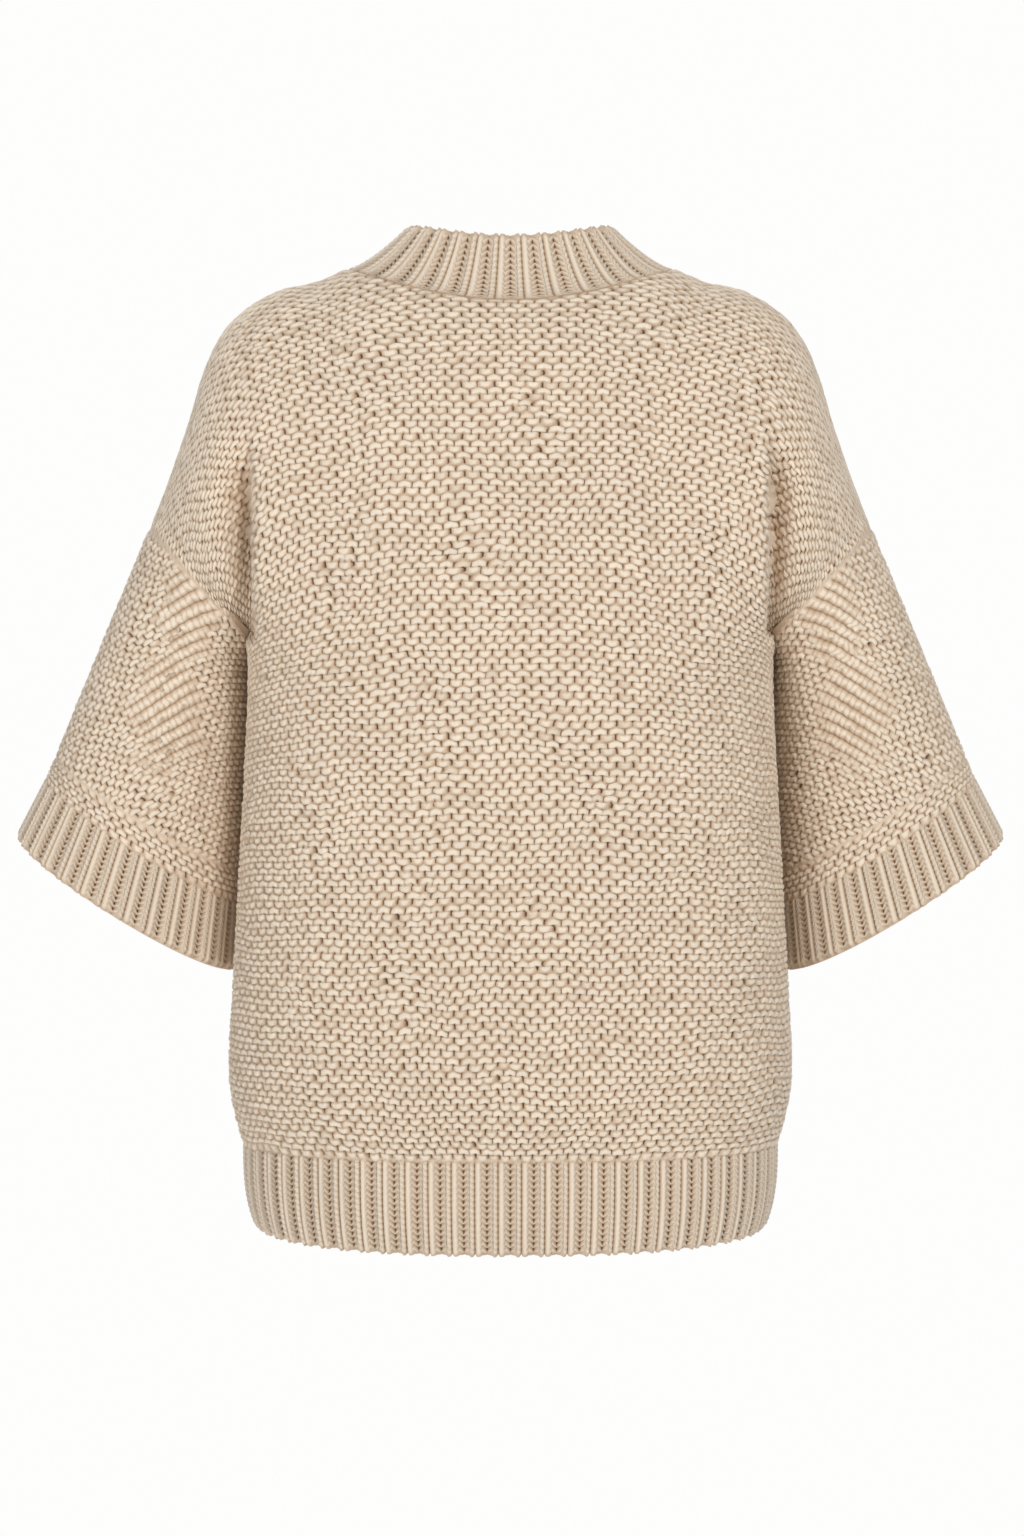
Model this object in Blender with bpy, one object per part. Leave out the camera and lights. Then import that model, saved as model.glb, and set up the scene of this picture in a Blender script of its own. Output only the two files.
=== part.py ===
"""A chunky knitted cardigan with wide three-quarter sleeves, filled out as if worn.

Metres, +Z up. The garment's back faces -Y and its front +Y. The origin is the middle of the neck
opening at the height of the shoulder points, where the garment is held up when it is worn.
Every piece is a wall of knitted fabric lofted through sections: an outer face, a plain inner face
and the cut edges between them. Neighbouring pieces stay SEAM_GAP apart.
"""

import math
from collections import namedtuple

import bpy
import numpy as np

# Fabric
FABRIC_WALL = 0.0045        # thickness of the knitted panels and sleeves
RIB_WALL = 0.0040           # thickness of the ribbed bands in a trough
RIB_RISE = 0.0026           # how far a rib stands above its troughs
SEAM_GAP = 0.0003           # clearance between two sewn pieces
FRONT_GAP = 0.0030          # the two fronts meet edge to edge, this far apart

# Torso: level sections from the top of the hem band up to the underarm
Section = namedtuple("Section", "height half_width back_depth front_depth")
TORSO = (
    Section(-0.573, 0.1742, 0.1125, 0.1105),
    Section(-0.562, 0.1782, 0.1185, 0.1160),
    Section(-0.549, 0.1826, 0.1245, 0.1210),
    Section(-0.532, 0.1845, 0.1270, 0.1230),
    Section(-0.500, 0.1828, 0.1255, 0.1215),
    Section(-0.450, 0.1800, 0.1225, 0.1190),
    Section(-0.386, 0.1767, 0.1195, 0.1180),
    Section(-0.298, 0.1721, 0.1175, 0.1200),
    Section(-0.245, 0.1702, 0.1165, 0.1205),
)
SECTION_ROUNDNESS = 2.35    # exponent of the level sections: 2 is an ellipse, more is squarer
SECTION_POINTS = 400        # points that a section's even spacing is measured on

# Shoulder line, seen from the front or the back, from over the neck out to the end of the panel
Ridge = namedtuple("Ridge", "across height")
SHOULDER = (
    Ridge(0.0000, 0.0050),
    Ridge(0.0600, 0.0030),
    Ridge(0.1075, -0.0026),
    Ridge(0.1265, -0.0104),
    Ridge(0.1532, -0.0167),
    Ridge(0.1672, -0.0238),
    Ridge(0.1768, -0.0306),
    Ridge(0.1884, -0.0430),
    Ridge(0.1956, -0.0556),
    Ridge(0.2012, -0.0695),
    Ridge(0.2116, -0.1030),
    Ridge(0.2234, -0.1360),
    Ridge(0.2374, -0.1709),
)
SHOULDER_POINTS = 600       # points that the line's even spacing is measured on
SHOULDER_FORWARD = 0.006    # the end of the shoulder line lies this far towards the front
ARM_START = 0.35            # share of the shoulder line where the panel starts to round the arm
NECK_POINT = 0.1075         # across: where the collar's seam crosses the shoulder line
NECK_ANGLE_BACK = 60.0      # degrees up the shoulder's round, at the middle of the back neck
NECK_ANGLE_FRONT = 50.0     # the same at the middle of the front neck, which is cut lower
ARMHOLE_DEPTH = 0.060       # half the armhole's depth from back to front
SHOULDER_FULLNESS = 0.72    # exponent: below 1 keeps the upper back and chest full

# Fold where the body hangs in front of the arm, from the underarm up
FOLD_ACROSS = 0.1765
FOLD_TOP = -0.125
FOLD_WIDTH = 0.0085
FOLD_DEPTH = 0.018
FOLD_START = 0.030          # height above the underarm in which it deepens
FOLD_MARGIN = 0.15          # share of the shoulder line beside the armhole that stays clear of it

# Sleeve: rings between its inner and its outer edge, from the armhole down to the cuff's seam.
# droop is how much further the back of a ring reaches along the arm, for each unit of depth.
Ring = namedtuple("Ring", "inner_across inner_height inner_forward outer_across outer_height "
                          "outer_forward half_depth droop")
SLEEVE = (
    Ring(0.1702, -0.2450, 0.000, 0.2374, -0.1709, 0.006, 0.0600, 0.000),
    Ring(0.1742, -0.2580, 0.012, 0.2473, -0.1945, 0.007, 0.0612, 0.000),
    Ring(0.1750, -0.2760, 0.024, 0.2577, -0.2190, 0.008, 0.0625, 0.010),
    Ring(0.1757, -0.3080, 0.036, 0.2720, -0.2530, 0.010, 0.0640, 0.025),
    Ring(0.1775, -0.3600, 0.041, 0.2888, -0.2935, 0.011, 0.0655, 0.045),
    Ring(0.1805, -0.4180, 0.043, 0.3057, -0.3345, 0.012, 0.0665, 0.065),
)
CUFF_END = Ring(0.1830, -0.4635, 0.044, 0.3255, -0.3725, 0.013, 0.0700, 0.095)

# Collar: the round of its upper edge
COLLAR_HALF_WIDTH = 0.0660
COLLAR_BACK = -0.0540       # forward position of its middle, at the back and at the front
COLLAR_FRONT = 0.0600
COLLAR_TOP_BACK = 0.0140    # heights of the upper edge
COLLAR_TOP_SIDE = 0.0275
COLLAR_TOP_FRONT = -0.0100
COLLAR_FLARE = 1.4          # exponent: the collar leaves its seam flat and then stands up

# Hem band
HEM_DEPTH = 0.0535
HEM_TUCK = 0.0080           # the lower edge draws in by this much
HEM_DROP_BACK = 0.0075      # the middle of the back hangs lower than the sides

# Ribs round each band, and grid steps
HEM_RIBS = 64
COLLAR_RIBS = 30
CUFF_RIBS = 32
POINTS_PER_RIB = 3
NECK_COLUMNS = 6            # panel columns from the middle to the neck point
SHOULDER_COLUMNS = 10       # and on from there to the side
SIDE_SPACING = 1.35         # exponent: above 1 brings the columns closer together at the side
TORSO_ROWS = 9
HEM_SPACING = 1.25          # exponent: above 1 brings the rows closer together at the hem
YOKE_ROWS = 12
COLLAR_ROWS = 3
HEM_ROWS = 2
CUFF_ROWS = 2
SLOPE_STEP = 1e-3           # step in fraction and angle that the yoke's slopes are read over
SHARP_ANGLE = 50.0          # degrees: the walls' cut edges are sharper than this

KNIT_COLOUR = (0.71, 0.58, 0.42, 1.0)
RIB_COLOUR = (0.66, 0.53, 0.38, 1.0)

BACK, FRONT = -1.0, 1.0
ACROSS = np.array((1.0, 0.0, 0.0))
FORWARD = np.array((0.0, 1.0, 0.0))
UP = np.array((0.0, 0.0, 1.0))


def table_curve(table, position, name):
    """Smooth curve through one named column of a table, read against its first column."""
    knots = np.array([row[0] for row in table])
    values = np.array([getattr(row, name) for row in table])
    slopes = np.gradient(values, knots)
    cell = np.clip(np.searchsorted(knots, position) - 1, 0, len(knots) - 2)
    width = knots[cell + 1] - knots[cell]
    t = (position - knots[cell]) / width
    return ((2 * t**3 - 3 * t**2 + 1) * values[cell] + (t**3 - 2 * t**2 + t) * width * slopes[cell]
            + (3 * t**2 - 2 * t**3) * values[cell + 1] + (t**3 - t**2) * width * slopes[cell + 1])


def along_line(points):
    """Distance of each point of a polyline from its start."""
    steps = np.linalg.norm(np.diff(points, axis=0), axis=1)
    return np.concatenate(([0.0], np.cumsum(steps)))


def read_at(wanted, distance, vectors):
    """Vectors of a polyline's points, read between them at the wanted distances."""
    return np.stack([np.interp(wanted, distance, vectors[:, axis]) for axis in range(3)], axis=1)


def evenly(points, fractions):
    """Points at the given fractions of a polyline's length."""
    distance = along_line(points)
    return read_at(fractions * distance[-1], distance, points)


def unit(vectors):
    """Vectors scaled to length 1."""
    return vectors / np.linalg.norm(vectors, axis=-1, keepdims=True)


def smoothstep(value):
    """0 below 0, 1 above 1 and a soft step between them."""
    t = np.clip(value, 0.0, 1.0)
    return t * t * (3.0 - 2.0 * t)


def half_section(height, facing, fractions):
    """Level half section of the torso, from the middle (0) to the side seam (1)."""
    half_width = table_curve(TORSO, height, "half_width")
    depth_name = "back_depth" if facing == BACK else "front_depth"
    depth = table_curve(TORSO, height, depth_name)
    angle = np.linspace(0.0, math.pi / 2, SECTION_POINTS)
    power = 2.0 / SECTION_ROUNDNESS
    outline = np.stack((half_width * np.sin(angle) ** power,
                        facing * depth * np.abs(np.cos(angle)) ** power,
                        np.full_like(angle, height)), axis=1)
    outline[-1, 1] = 0.0
    return evenly(outline, fractions)


def shoulder_line(fractions):
    """Points of the shoulder line, evenly from over the neck (0) to its outer end (1)."""
    knots = np.array([row.across for row in SHOULDER])
    places = np.linspace(0, len(knots) - 1, SHOULDER_POINTS)
    across = np.interp(places, np.arange(len(knots)), knots)
    height = table_curve(SHOULDER, across, "height")
    line = np.stack((across, np.zeros_like(across), height), axis=1)
    return evenly(line, fractions)


def neck_fraction():
    """Share of the shoulder line that lies over the neck."""
    fractions = np.linspace(0.0, 1.0, SHOULDER_POINTS)
    return float(np.interp(NECK_POINT, shoulder_line(fractions)[:, 0], fractions))


def column_fractions():
    """Fractions of the shoulder line where the columns end, closer at the neck and the armhole."""
    turn = np.linspace(0.0, math.pi / 2, NECK_COLUMNS + 1)
    neck = neck_fraction() * np.sin(turn)
    left_over = np.linspace(1.0, 0.0, SHOULDER_COLUMNS + 1) ** SIDE_SPACING
    shoulder = 1.0 - (1.0 - neck_fraction()) * left_over
    return np.concatenate((neck, shoulder[1:]))


def yoke_point(facing, fraction, angle):
    """Points of a panel above the underarm.

    A column starts on the torso's section at the underarm (angle 0) and turns over to the
    shoulder line (a quarter turn). Outwards it changes into half of the round of the arm, and the
    last column, at fraction 1, is the armhole's seam.
    """
    shape = np.shape(fraction)
    flat = np.ravel(fraction)
    base = half_section(TORSO[-1].height, facing, flat).reshape(*shape, 3)
    ridge = shoulder_line(flat).reshape(*shape, 3)
    arm = smoothstep((fraction - ARM_START) / (1.0 - ARM_START))
    sine, cosine = np.sin(angle), np.maximum(np.cos(angle), 0.0)
    spread = sine**2
    across = base[..., 0] + (ridge[..., 0] - base[..., 0]) * spread
    height = base[..., 2] + (ridge[..., 2] - base[..., 2]) * sine ** (1.0 + arm)
    depth = np.abs(base[..., 1]) * cosine**SHOULDER_FULLNESS
    depth += ARMHOLE_DEPTH * arm * 2.0 * sine * cosine
    depth -= fold_depth(across, height, fraction)
    forward = facing * depth + SHOULDER_FORWARD * arm * spread
    return np.stack((across, forward, height), axis=-1)


def fold_depth(across, height, fraction):
    """Depth of the soft trough of the armhole's fold, none at the armhole's seam itself."""
    lean = np.exp(-((across - FOLD_ACROSS) / FOLD_WIDTH) ** 2)
    low = TORSO[-1].height
    along = smoothstep((FOLD_TOP - height) / (FOLD_TOP - low))
    ease = smoothstep((height - low) / FOLD_START) * smoothstep((1.0 - fraction) / FOLD_MARGIN)
    return FOLD_DEPTH * lean * along * ease


def yoke_grid(facing):
    """Fractions and angles of the yoke's points; under the neck the columns end on its seam."""
    fractions = column_fractions()
    neck_angle = math.radians(NECK_ANGLE_BACK if facing == BACK else NECK_ANGLE_FRONT)
    over_neck = np.clip(fractions / neck_fraction(), 0.0, 1.0)
    top_angle = math.pi / 2 - (math.pi / 2 - neck_angle) * np.sqrt(1.0 - over_neck**2)
    angle = np.outer(np.arange(1, YOKE_ROWS + 1) / YOKE_ROWS, top_angle)
    return np.broadcast_to(fractions, angle.shape), angle


def yoke_normals(facing):
    """Outward normals of the yoke's points, from the slopes of its surface."""
    fraction, angle = yoke_grid(facing)
    sideways = (yoke_point(facing, np.minimum(fraction + SLOPE_STEP, 1.0), angle)
                - yoke_point(facing, np.maximum(fraction - SLOPE_STEP, 0.0), angle))
    upwards = (yoke_point(facing, fraction, np.minimum(angle + SLOPE_STEP, math.pi / 2))
               - yoke_point(facing, fraction, angle - SLOPE_STEP))
    return unit(np.cross(sideways, upwards)) * -facing


def half_panel(facing):
    """Outer points of half a panel, [row from the hem up, column from the middle to the side]."""
    fractions = column_fractions()
    low = TORSO[0].height + SEAM_GAP / 2
    share = np.linspace(0.0, 1.0, TORSO_ROWS + 1) ** HEM_SPACING
    heights = low + (TORSO[-1].height - low) * share
    torso = np.array([half_section(height, facing, fractions) for height in heights])
    return np.concatenate((torso, yoke_point(facing, *yoke_grid(facing))))


def outward(grid, away):
    """Unit normals of a grid of points, turned to face along 'away'."""
    normals = unit(np.cross(np.gradient(grid, axis=0), np.gradient(grid, axis=1)))
    side = np.sign(np.sum(normals * away, axis=-1).mean())
    return normals * side


def without(vectors, direction):
    """Unit vectors after the part along a direction is taken off."""
    along = np.sum(vectors * direction, axis=-1, keepdims=True)
    return unit(vectors - along * direction)


def panel_normals(panel, facing):
    """Outward normals of half a panel, squared up along its cut edges."""
    normals = outward(panel, facing * FORWARD)
    normals[TORSO_ROWS + 1:] = yoke_normals(facing)
    normals[0] = without(normals[0], UP)
    normals[:, 0] = without(normals[:, 0], ACROSS)
    normals[:TORSO_ROWS, -1] = without(normals[:TORSO_ROWS, -1], FORWARD)
    normals[-1, NECK_COLUMNS:] = without(normals[-1, NECK_COLUMNS:], FORWARD)
    across_seam = ring_direction(SLEEVE[0])
    seam = unit(armhole_normals(facing) + normals[TORSO_ROWS:, -1])
    lean = np.sum(seam * across_seam, axis=1, keepdims=True)
    normals[TORSO_ROWS:, -1] = unit(seam - np.minimum(lean, 0.0) * across_seam)
    for corner in (TORSO_ROWS, -1):
        normals[corner, -1] = without(normals[corner, -1], FORWARD)
    return normals


def arm_direction(ring):
    """Unit direction along the arm, across the line from a ring's inner to its outer edge."""
    rise = np.array((ring.outer_across - ring.inner_across, 0.0,
                     ring.outer_height - ring.inner_height))
    return unit(np.cross(FORWARD, rise))


def ring_axes(ring):
    """Middle of a sleeve ring, its half width towards the outer edge and its half depth."""
    inner = np.array((ring.inner_across, ring.inner_forward, ring.inner_height))
    outer = np.array((ring.outer_across, ring.outer_forward, ring.outer_height))
    deep = ring.half_depth * (FORWARD - ring.droop * arm_direction(ring))
    return (inner + outer) / 2, (outer - inner) / 2, deep


def ring_points(ring, angles):
    """Points round a sleeve ring: 0 is its inner edge, pi its outer edge, below pi the back."""
    middle, half, deep = ring_axes(ring)
    return middle - np.cos(angles)[:, None] * half - np.sin(angles)[:, None] * deep


def ring_direction(ring):
    """Unit direction square to a ring's plane, towards the hand."""
    middle, half, deep = ring_axes(ring)
    return unit(np.cross(deep, half))


def ring_normals(ring, angles):
    """Outward normals of a sleeve ring, within the ring's own plane."""
    middle, half, deep = ring_axes(ring)
    along = np.sin(angles)[:, None] * half - np.cos(angles)[:, None] * deep
    return unit(np.cross(ring_direction(ring), along))


def armhole_normals(facing):
    """Normals of the armhole's ring beside each yoke row, from the underarm up."""
    angles = np.linspace(0.0, math.pi, YOKE_ROWS + 1)
    normals = ring_normals(SLEEVE[0], angles)
    normals[:, 1] *= 1.0 if facing == BACK else -1.0
    return normals


def wall(name, outer, inner, round_ring, material, collection):
    """Closed wall between two equal grids of points, open or joined round its columns."""
    rows, columns = outer.shape[:2]
    points = np.concatenate((outer.reshape(-1, 3), inner.reshape(-1, 3)))
    shift = rows * columns
    last = columns if round_ring else columns - 1
    faces = []
    for row in range(rows - 1):
        for column in range(last):
            beside = (column + 1) % columns
            a, b = row * columns + column, row * columns + beside
            c, d = a + columns, b + columns
            faces.append((a, b, d, c))
            faces.append((a + shift, c + shift, d + shift, b + shift))
    for column in range(last):
        beside = (column + 1) % columns
        a, b = column, beside
        faces.append((a, a + shift, b + shift, b))
        c, d = a + (rows - 1) * columns, b + (rows - 1) * columns
        faces.append((c, d, d + shift, c + shift))
    if not round_ring:
        for row in range(rows - 1):
            a, c = row * columns, (row + 1) * columns
            faces.append((a, c, c + shift, a + shift))
            b, d = a + columns - 1, c + columns - 1
            faces.append((b, b + shift, d + shift, d))
    mesh = bpy.data.meshes.new(name)
    mesh.from_pydata(points.tolist(), [], faces)
    mesh.update()
    face_outwards(mesh)
    mesh.shade_smooth()
    mesh.set_sharp_from_angle(angle=math.radians(SHARP_ANGLE))
    mesh.materials.append(material)
    collection.objects.link(bpy.data.objects.new(name, mesh))


def face_outwards(mesh):
    """Turns every face round if the closed mesh has a negative volume."""
    mesh.calc_loop_triangles()
    places = np.empty(len(mesh.vertices) * 3)
    mesh.vertices.foreach_get("co", places)
    places = places.reshape(-1, 3)
    corners = np.empty(len(mesh.loop_triangles) * 3, dtype=np.int32)
    mesh.loop_triangles.foreach_get("vertices", corners)
    a, b, c = (places[corners.reshape(-1, 3)[:, corner]] for corner in range(3))
    if np.sum(np.cross(a, b) * c) < 0.0:
        mesh.flip_normals()


def ribs(count):
    """Rise of each point round a ribbed band of so many points: a trough, then two on the rib."""
    return np.resize((0.0, RIB_RISE, RIB_RISE), count)[:, None]


def rib_wall(base, normals, draw=0.0):
    """Outer and plain inner row of a ribbed band round a base line, drawn in by so much."""
    outer = base + normals * (ribs(len(base)) - RIB_RISE / 2 - draw)
    inner = base - normals * (RIB_WALL + RIB_RISE / 2 + draw)
    return outer, inner


def fabric(name, colour):
    """Plain knitted-fabric material."""
    material = bpy.data.materials.new(name)
    material.use_nodes = True
    shader = material.node_tree.nodes["Principled BSDF"]
    shader.inputs["Base Color"].default_value = colour
    shader.inputs["Roughness"].default_value = 0.9
    shader.inputs["Metallic"].default_value = 0.0
    return material


def mirrored(grid):
    """The same grid on the other side of the garment, columns still running left to right."""
    return grid[:, ::-1] * np.array((-1.0, 1.0, 1.0))


def make_back(collection):
    """The back, one panel from side seam to side seam."""
    half = half_panel(BACK)
    normals = panel_normals(half, BACK)
    half = clear_of_seams(half, BACK)
    outer = np.concatenate((mirrored(half)[:, :-1], half), axis=1)
    inside = half - normals * FABRIC_WALL
    inner = np.concatenate((mirrored(inside)[:, :-1], inside), axis=1)
    wall("back", outer, inner, False, fabric("back knit", KNIT_COLOUR), collection)


def make_fronts(collection):
    """The two fronts, which meet at a plain edge down the middle."""
    half = half_panel(FRONT)
    normals = panel_normals(half, FRONT)
    half = clear_of_seams(half, FRONT)
    half[:, 0, 0] = FRONT_GAP / 2
    inner = half - normals * FABRIC_WALL
    inner[:, 0, 0] = FRONT_GAP / 2
    wall("front_right", half, inner, False, fabric("front right knit", KNIT_COLOUR), collection)
    wall("front_left", mirrored(half), mirrored(inner), False,
         fabric("front left knit", KNIT_COLOUR), collection)


def clear_of_seams(panel, facing):
    """Half a panel drawn back from its side, armhole and shoulder seams by half the gap."""
    panel = panel.copy()
    panel[:TORSO_ROWS + 1, -1] += facing * FORWARD * SEAM_GAP / 2
    panel[TORSO_ROWS:, -1] -= ring_direction(SLEEVE[0]) * SEAM_GAP / 2
    panel[-1, NECK_COLUMNS:] += facing * FORWARD * SEAM_GAP / 2
    return panel


def make_sleeves(collection):
    """Two sleeves, from the armhole's seam to the cuff's seam."""
    angles = np.linspace(0.0, 2 * math.pi, 2 * YOKE_ROWS, endpoint=False)
    outer = np.array([ring_points(ring, angles) for ring in SLEEVE])
    normals = np.array([ring_normals(ring, angles) for ring in SLEEVE])
    outer[0] += ring_direction(SLEEVE[0]) * SEAM_GAP / 2
    outer[-1] -= ring_direction(SLEEVE[-1]) * SEAM_GAP / 2
    inner = outer - normals * FABRIC_WALL
    wall("sleeve_right", outer, inner, True, fabric("sleeve right knit", KNIT_COLOUR), collection)
    wall("sleeve_left", mirrored(outer), mirrored(inner), True,
         fabric("sleeve left knit", KNIT_COLOUR), collection)


def make_cuffs(collection):
    """Two ribbed cuffs."""
    angles = np.linspace(0.0, 2 * math.pi, CUFF_RIBS * POINTS_PER_RIB, endpoint=False)
    rows = []
    for step in range(CUFF_ROWS + 1):
        share = step / CUFF_ROWS
        ring = Ring(*(np.array(SLEEVE[-1]) * (1.0 - share) + np.array(CUFF_END) * share))
        base = ring_points(ring, angles)
        if step == 0:
            base += ring_direction(ring) * SEAM_GAP / 2
        rows.append(rib_wall(base, ring_normals(ring, angles)))
    outer, inner = (np.array(side) for side in zip(*rows))
    wall("cuff_right", outer, inner, True, fabric("cuff right rib", RIB_COLOUR), collection)
    wall("cuff_left", mirrored(outer), mirrored(inner), True,
         fabric("cuff left rib", RIB_COLOUR), collection)


def band_fractions(count):
    """Even fractions round half a band, enough for its ribs."""
    return np.linspace(0.0, 1.0, count * POINTS_PER_RIB // 2 + 1)


def round_the_body(back, front):
    """One run of points from the front edge, round the back, to the other front edge."""
    right = np.concatenate((front[:-1], back[::-1]))
    left = mirrored(right[None])[0]
    return np.concatenate((right, left[1:]))


def open_down_the_front(grid):
    """A band's grid with its two ends squared off beside the front opening."""
    grid[:, 0, 0] = FRONT_GAP / 2
    grid[:, -1, 0] = -FRONT_GAP / 2
    return grid


def make_hem(collection):
    """The ribbed hem band, open at the middle of the front."""
    half_back = half_section(TORSO[0].height, BACK, band_fractions(HEM_RIBS // 2))
    half_front = half_section(TORSO[0].height, FRONT, band_fractions(HEM_RIBS // 2))
    base = round_the_body(half_back, half_front)
    tangent = unit(np.gradient(base, axis=0))
    normals = unit(np.cross(tangent, UP))
    normals *= np.sign(np.sum(normals * base, axis=1).mean())
    back_share = np.clip(-base[:, 1:2] / TORSO[0].back_depth, 0.0, 1.0)
    rows = []
    for step in range(HEM_ROWS + 1):
        share = step / HEM_ROWS
        low = SEAM_GAP / 2 + share * (HEM_DEPTH + HEM_DROP_BACK * back_share)
        rows.append(rib_wall(base - low * UP, normals, HEM_TUCK * share**3))
    outer, inner = (open_down_the_front(np.array(side)) for side in zip(*rows))
    wall("hem_band", outer, inner, False, fabric("hem rib", RIB_COLOUR), collection)


def collar_seam(facing):
    """Half of the neck edge of a panel and its normals, from the middle to the neck point."""
    panel = half_panel(facing)
    normals = panel_normals(panel, facing)
    return panel[-1, :NECK_COLUMNS + 1], normals[-1, :NECK_COLUMNS + 1]


def collar_top(fractions, facing):
    """Half of the collar's upper edge, from the middle (0) to the side (1)."""
    angle = fractions * math.pi / 2
    deep = COLLAR_BACK if facing == BACK else COLLAR_FRONT
    middle = COLLAR_TOP_BACK if facing == BACK else COLLAR_TOP_FRONT
    height = middle + (COLLAR_TOP_SIDE - middle) * np.sin(angle) ** 2
    return np.stack((COLLAR_HALF_WIDTH * np.sin(angle), deep * np.cos(angle), height), axis=1)


def make_collar(collection):
    """The ribbed collar, open at the middle of the front."""
    fractions = band_fractions(COLLAR_RIBS // 2)
    seams, faces = [], []
    for facing in (BACK, FRONT):
        edge, normals = collar_seam(facing)
        distance = along_line(edge)
        wanted = fractions * distance[-1]
        seams.append(read_at(wanted, distance, edge))
        faces.append(unit(read_at(wanted, distance, normals)))
    seam = round_the_body(*seams)
    face = round_the_body(*faces)
    top = round_the_body(collar_top(fractions, BACK), collar_top(fractions, FRONT))
    rows = []
    for step in range(COLLAR_ROWS + 1):
        share = step / COLLAR_ROWS
        line = seam + (top - seam) * share
        line[:, 2] = seam[:, 2] + (top[:, 2] - seam[:, 2]) * share**COLLAR_FLARE
        rows.append(line)
    rows = np.array(rows)
    normals = outward(rows, rows[:1] * (ACROSS + FORWARD))
    normals[0] = face
    away = unit(np.cross(face, np.gradient(seam, axis=0)))
    away *= np.sign(np.sum(away * (rows[1] - seam), axis=1, keepdims=True))
    rows[0] += away * SEAM_GAP
    sides = zip(*(rib_wall(row, normal) for row, normal in zip(rows, normals)))
    outer, inner = (open_down_the_front(np.array(side)) for side in sides)
    wall("collar", outer, inner, False, fabric("collar rib", RIB_COLOUR), collection)


def main():
    """Builds the cardigan in a collection of its own."""
    for thing in list(bpy.data.objects):
        bpy.data.objects.remove(thing, do_unlink=True)
    collection = bpy.data.collections.new("cardigan")
    bpy.context.scene.collection.children.link(collection)
    make_back(collection)
    make_fronts(collection)
    make_sleeves(collection)
    make_cuffs(collection)
    make_hem(collection)
    make_collar(collection)


main()
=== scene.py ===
import math

import bmesh
import bpy
import numpy as np
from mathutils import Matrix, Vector


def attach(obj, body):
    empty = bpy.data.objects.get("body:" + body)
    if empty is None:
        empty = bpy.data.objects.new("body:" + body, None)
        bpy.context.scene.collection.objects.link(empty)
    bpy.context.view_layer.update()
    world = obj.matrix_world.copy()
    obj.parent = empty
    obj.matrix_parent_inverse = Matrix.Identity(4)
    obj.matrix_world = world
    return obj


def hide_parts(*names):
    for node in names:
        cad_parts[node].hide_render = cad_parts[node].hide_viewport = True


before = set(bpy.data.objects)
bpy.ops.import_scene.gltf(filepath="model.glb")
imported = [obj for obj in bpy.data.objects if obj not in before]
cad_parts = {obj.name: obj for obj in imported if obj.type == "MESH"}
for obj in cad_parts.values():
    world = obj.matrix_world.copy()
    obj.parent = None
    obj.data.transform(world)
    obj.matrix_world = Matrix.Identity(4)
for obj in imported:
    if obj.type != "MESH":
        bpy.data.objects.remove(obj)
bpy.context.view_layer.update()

print("frame loaded:", len(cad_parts), "nodes")

back, front = -1.0, 1.0                      # which way half a panel faces, along Y
seamGap = 0.0003
wallThick = 0.0045
frontGap = 0.0030


# small numpy helpers

def unit(vectors):
    return vectors / np.maximum(np.linalg.norm(vectors, axis=-1, keepdims=True), 1e-12)


def softStep(value):
    # 0 below 0, 1 above 1, 3t^2 - 2t^3 between
    t = np.clip(value, 0.0, 1.0)
    return t * t * (3.0 - 2.0 * t)


def tableCurve(knots, values, position):
    # cubic Hermite curve through (knot, value), each slope from the two neighbours
    knots, values = np.asarray(knots, float), np.asarray(values, float)
    slopes = np.gradient(values, knots)
    cell = np.clip(np.searchsorted(knots, position) - 1, 0, len(knots) - 2)
    width = knots[cell + 1] - knots[cell]
    t = (position - knots[cell]) / width
    return ((2 * t**3 - 3 * t**2 + 1) * values[cell] + (t**3 - 2 * t**2 + t) * width * slopes[cell]
            + (3 * t**2 - 2 * t**3) * values[cell + 1] + (t**3 - t**2) * width * slopes[cell + 1])


def runLength(points):
    # distance from the start along axis 0 of a grid of points
    steps = np.linalg.norm(np.diff(points, axis=0), axis=-1)
    return np.concatenate((np.zeros((1,) + steps.shape[1:]), np.cumsum(steps, axis=0)))


def cubicWeights(t):
    return (-0.5 * t + t**2 - 0.5 * t**3, 1 - 2.5 * t**2 + 1.5 * t**3,
            0.5 * t + 2 * t**2 - 1.5 * t**3, -0.5 * t**2 + 0.5 * t**3)


def readGrid(grid, row, column, wrap=False):
    # Catmull-Rom patch through a regular grid of points; row and column run 0..1, wrap closes the columns
    rows, columns = grid.shape[:2]
    r = np.clip(row, 0.0, 1.0) * (rows - 1)
    c = column * columns if wrap else np.clip(column, 0.0, 1.0) * (columns - 1)
    r0 = np.clip(np.floor(r).astype(int), 0, rows - 2)
    c0 = np.floor(c).astype(int) if wrap else np.clip(np.floor(c).astype(int), 0, columns - 2)
    if not wrap:                             # one more column past each edge, along the edge's slope
        grid = np.concatenate((2 * grid[:, :1] - grid[:, 1:2], grid, 2 * grid[:, -1:] - grid[:, -2:-1]), axis=1)
    grid = np.concatenate((2 * grid[:1] - grid[1:2], grid, 2 * grid[-1:] - grid[-2:-1]), axis=0)
    found = 0.0
    for i, rowWeight in enumerate(cubicWeights(r - r0)):
        for j, columnWeight in enumerate(cubicWeights(c - c0)):
            at = (c0 + j - 1) % columns if wrap else c0 + j
            found = found + (rowWeight * columnWeight)[..., None] * grid[r0 + i, at]
    return found


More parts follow.
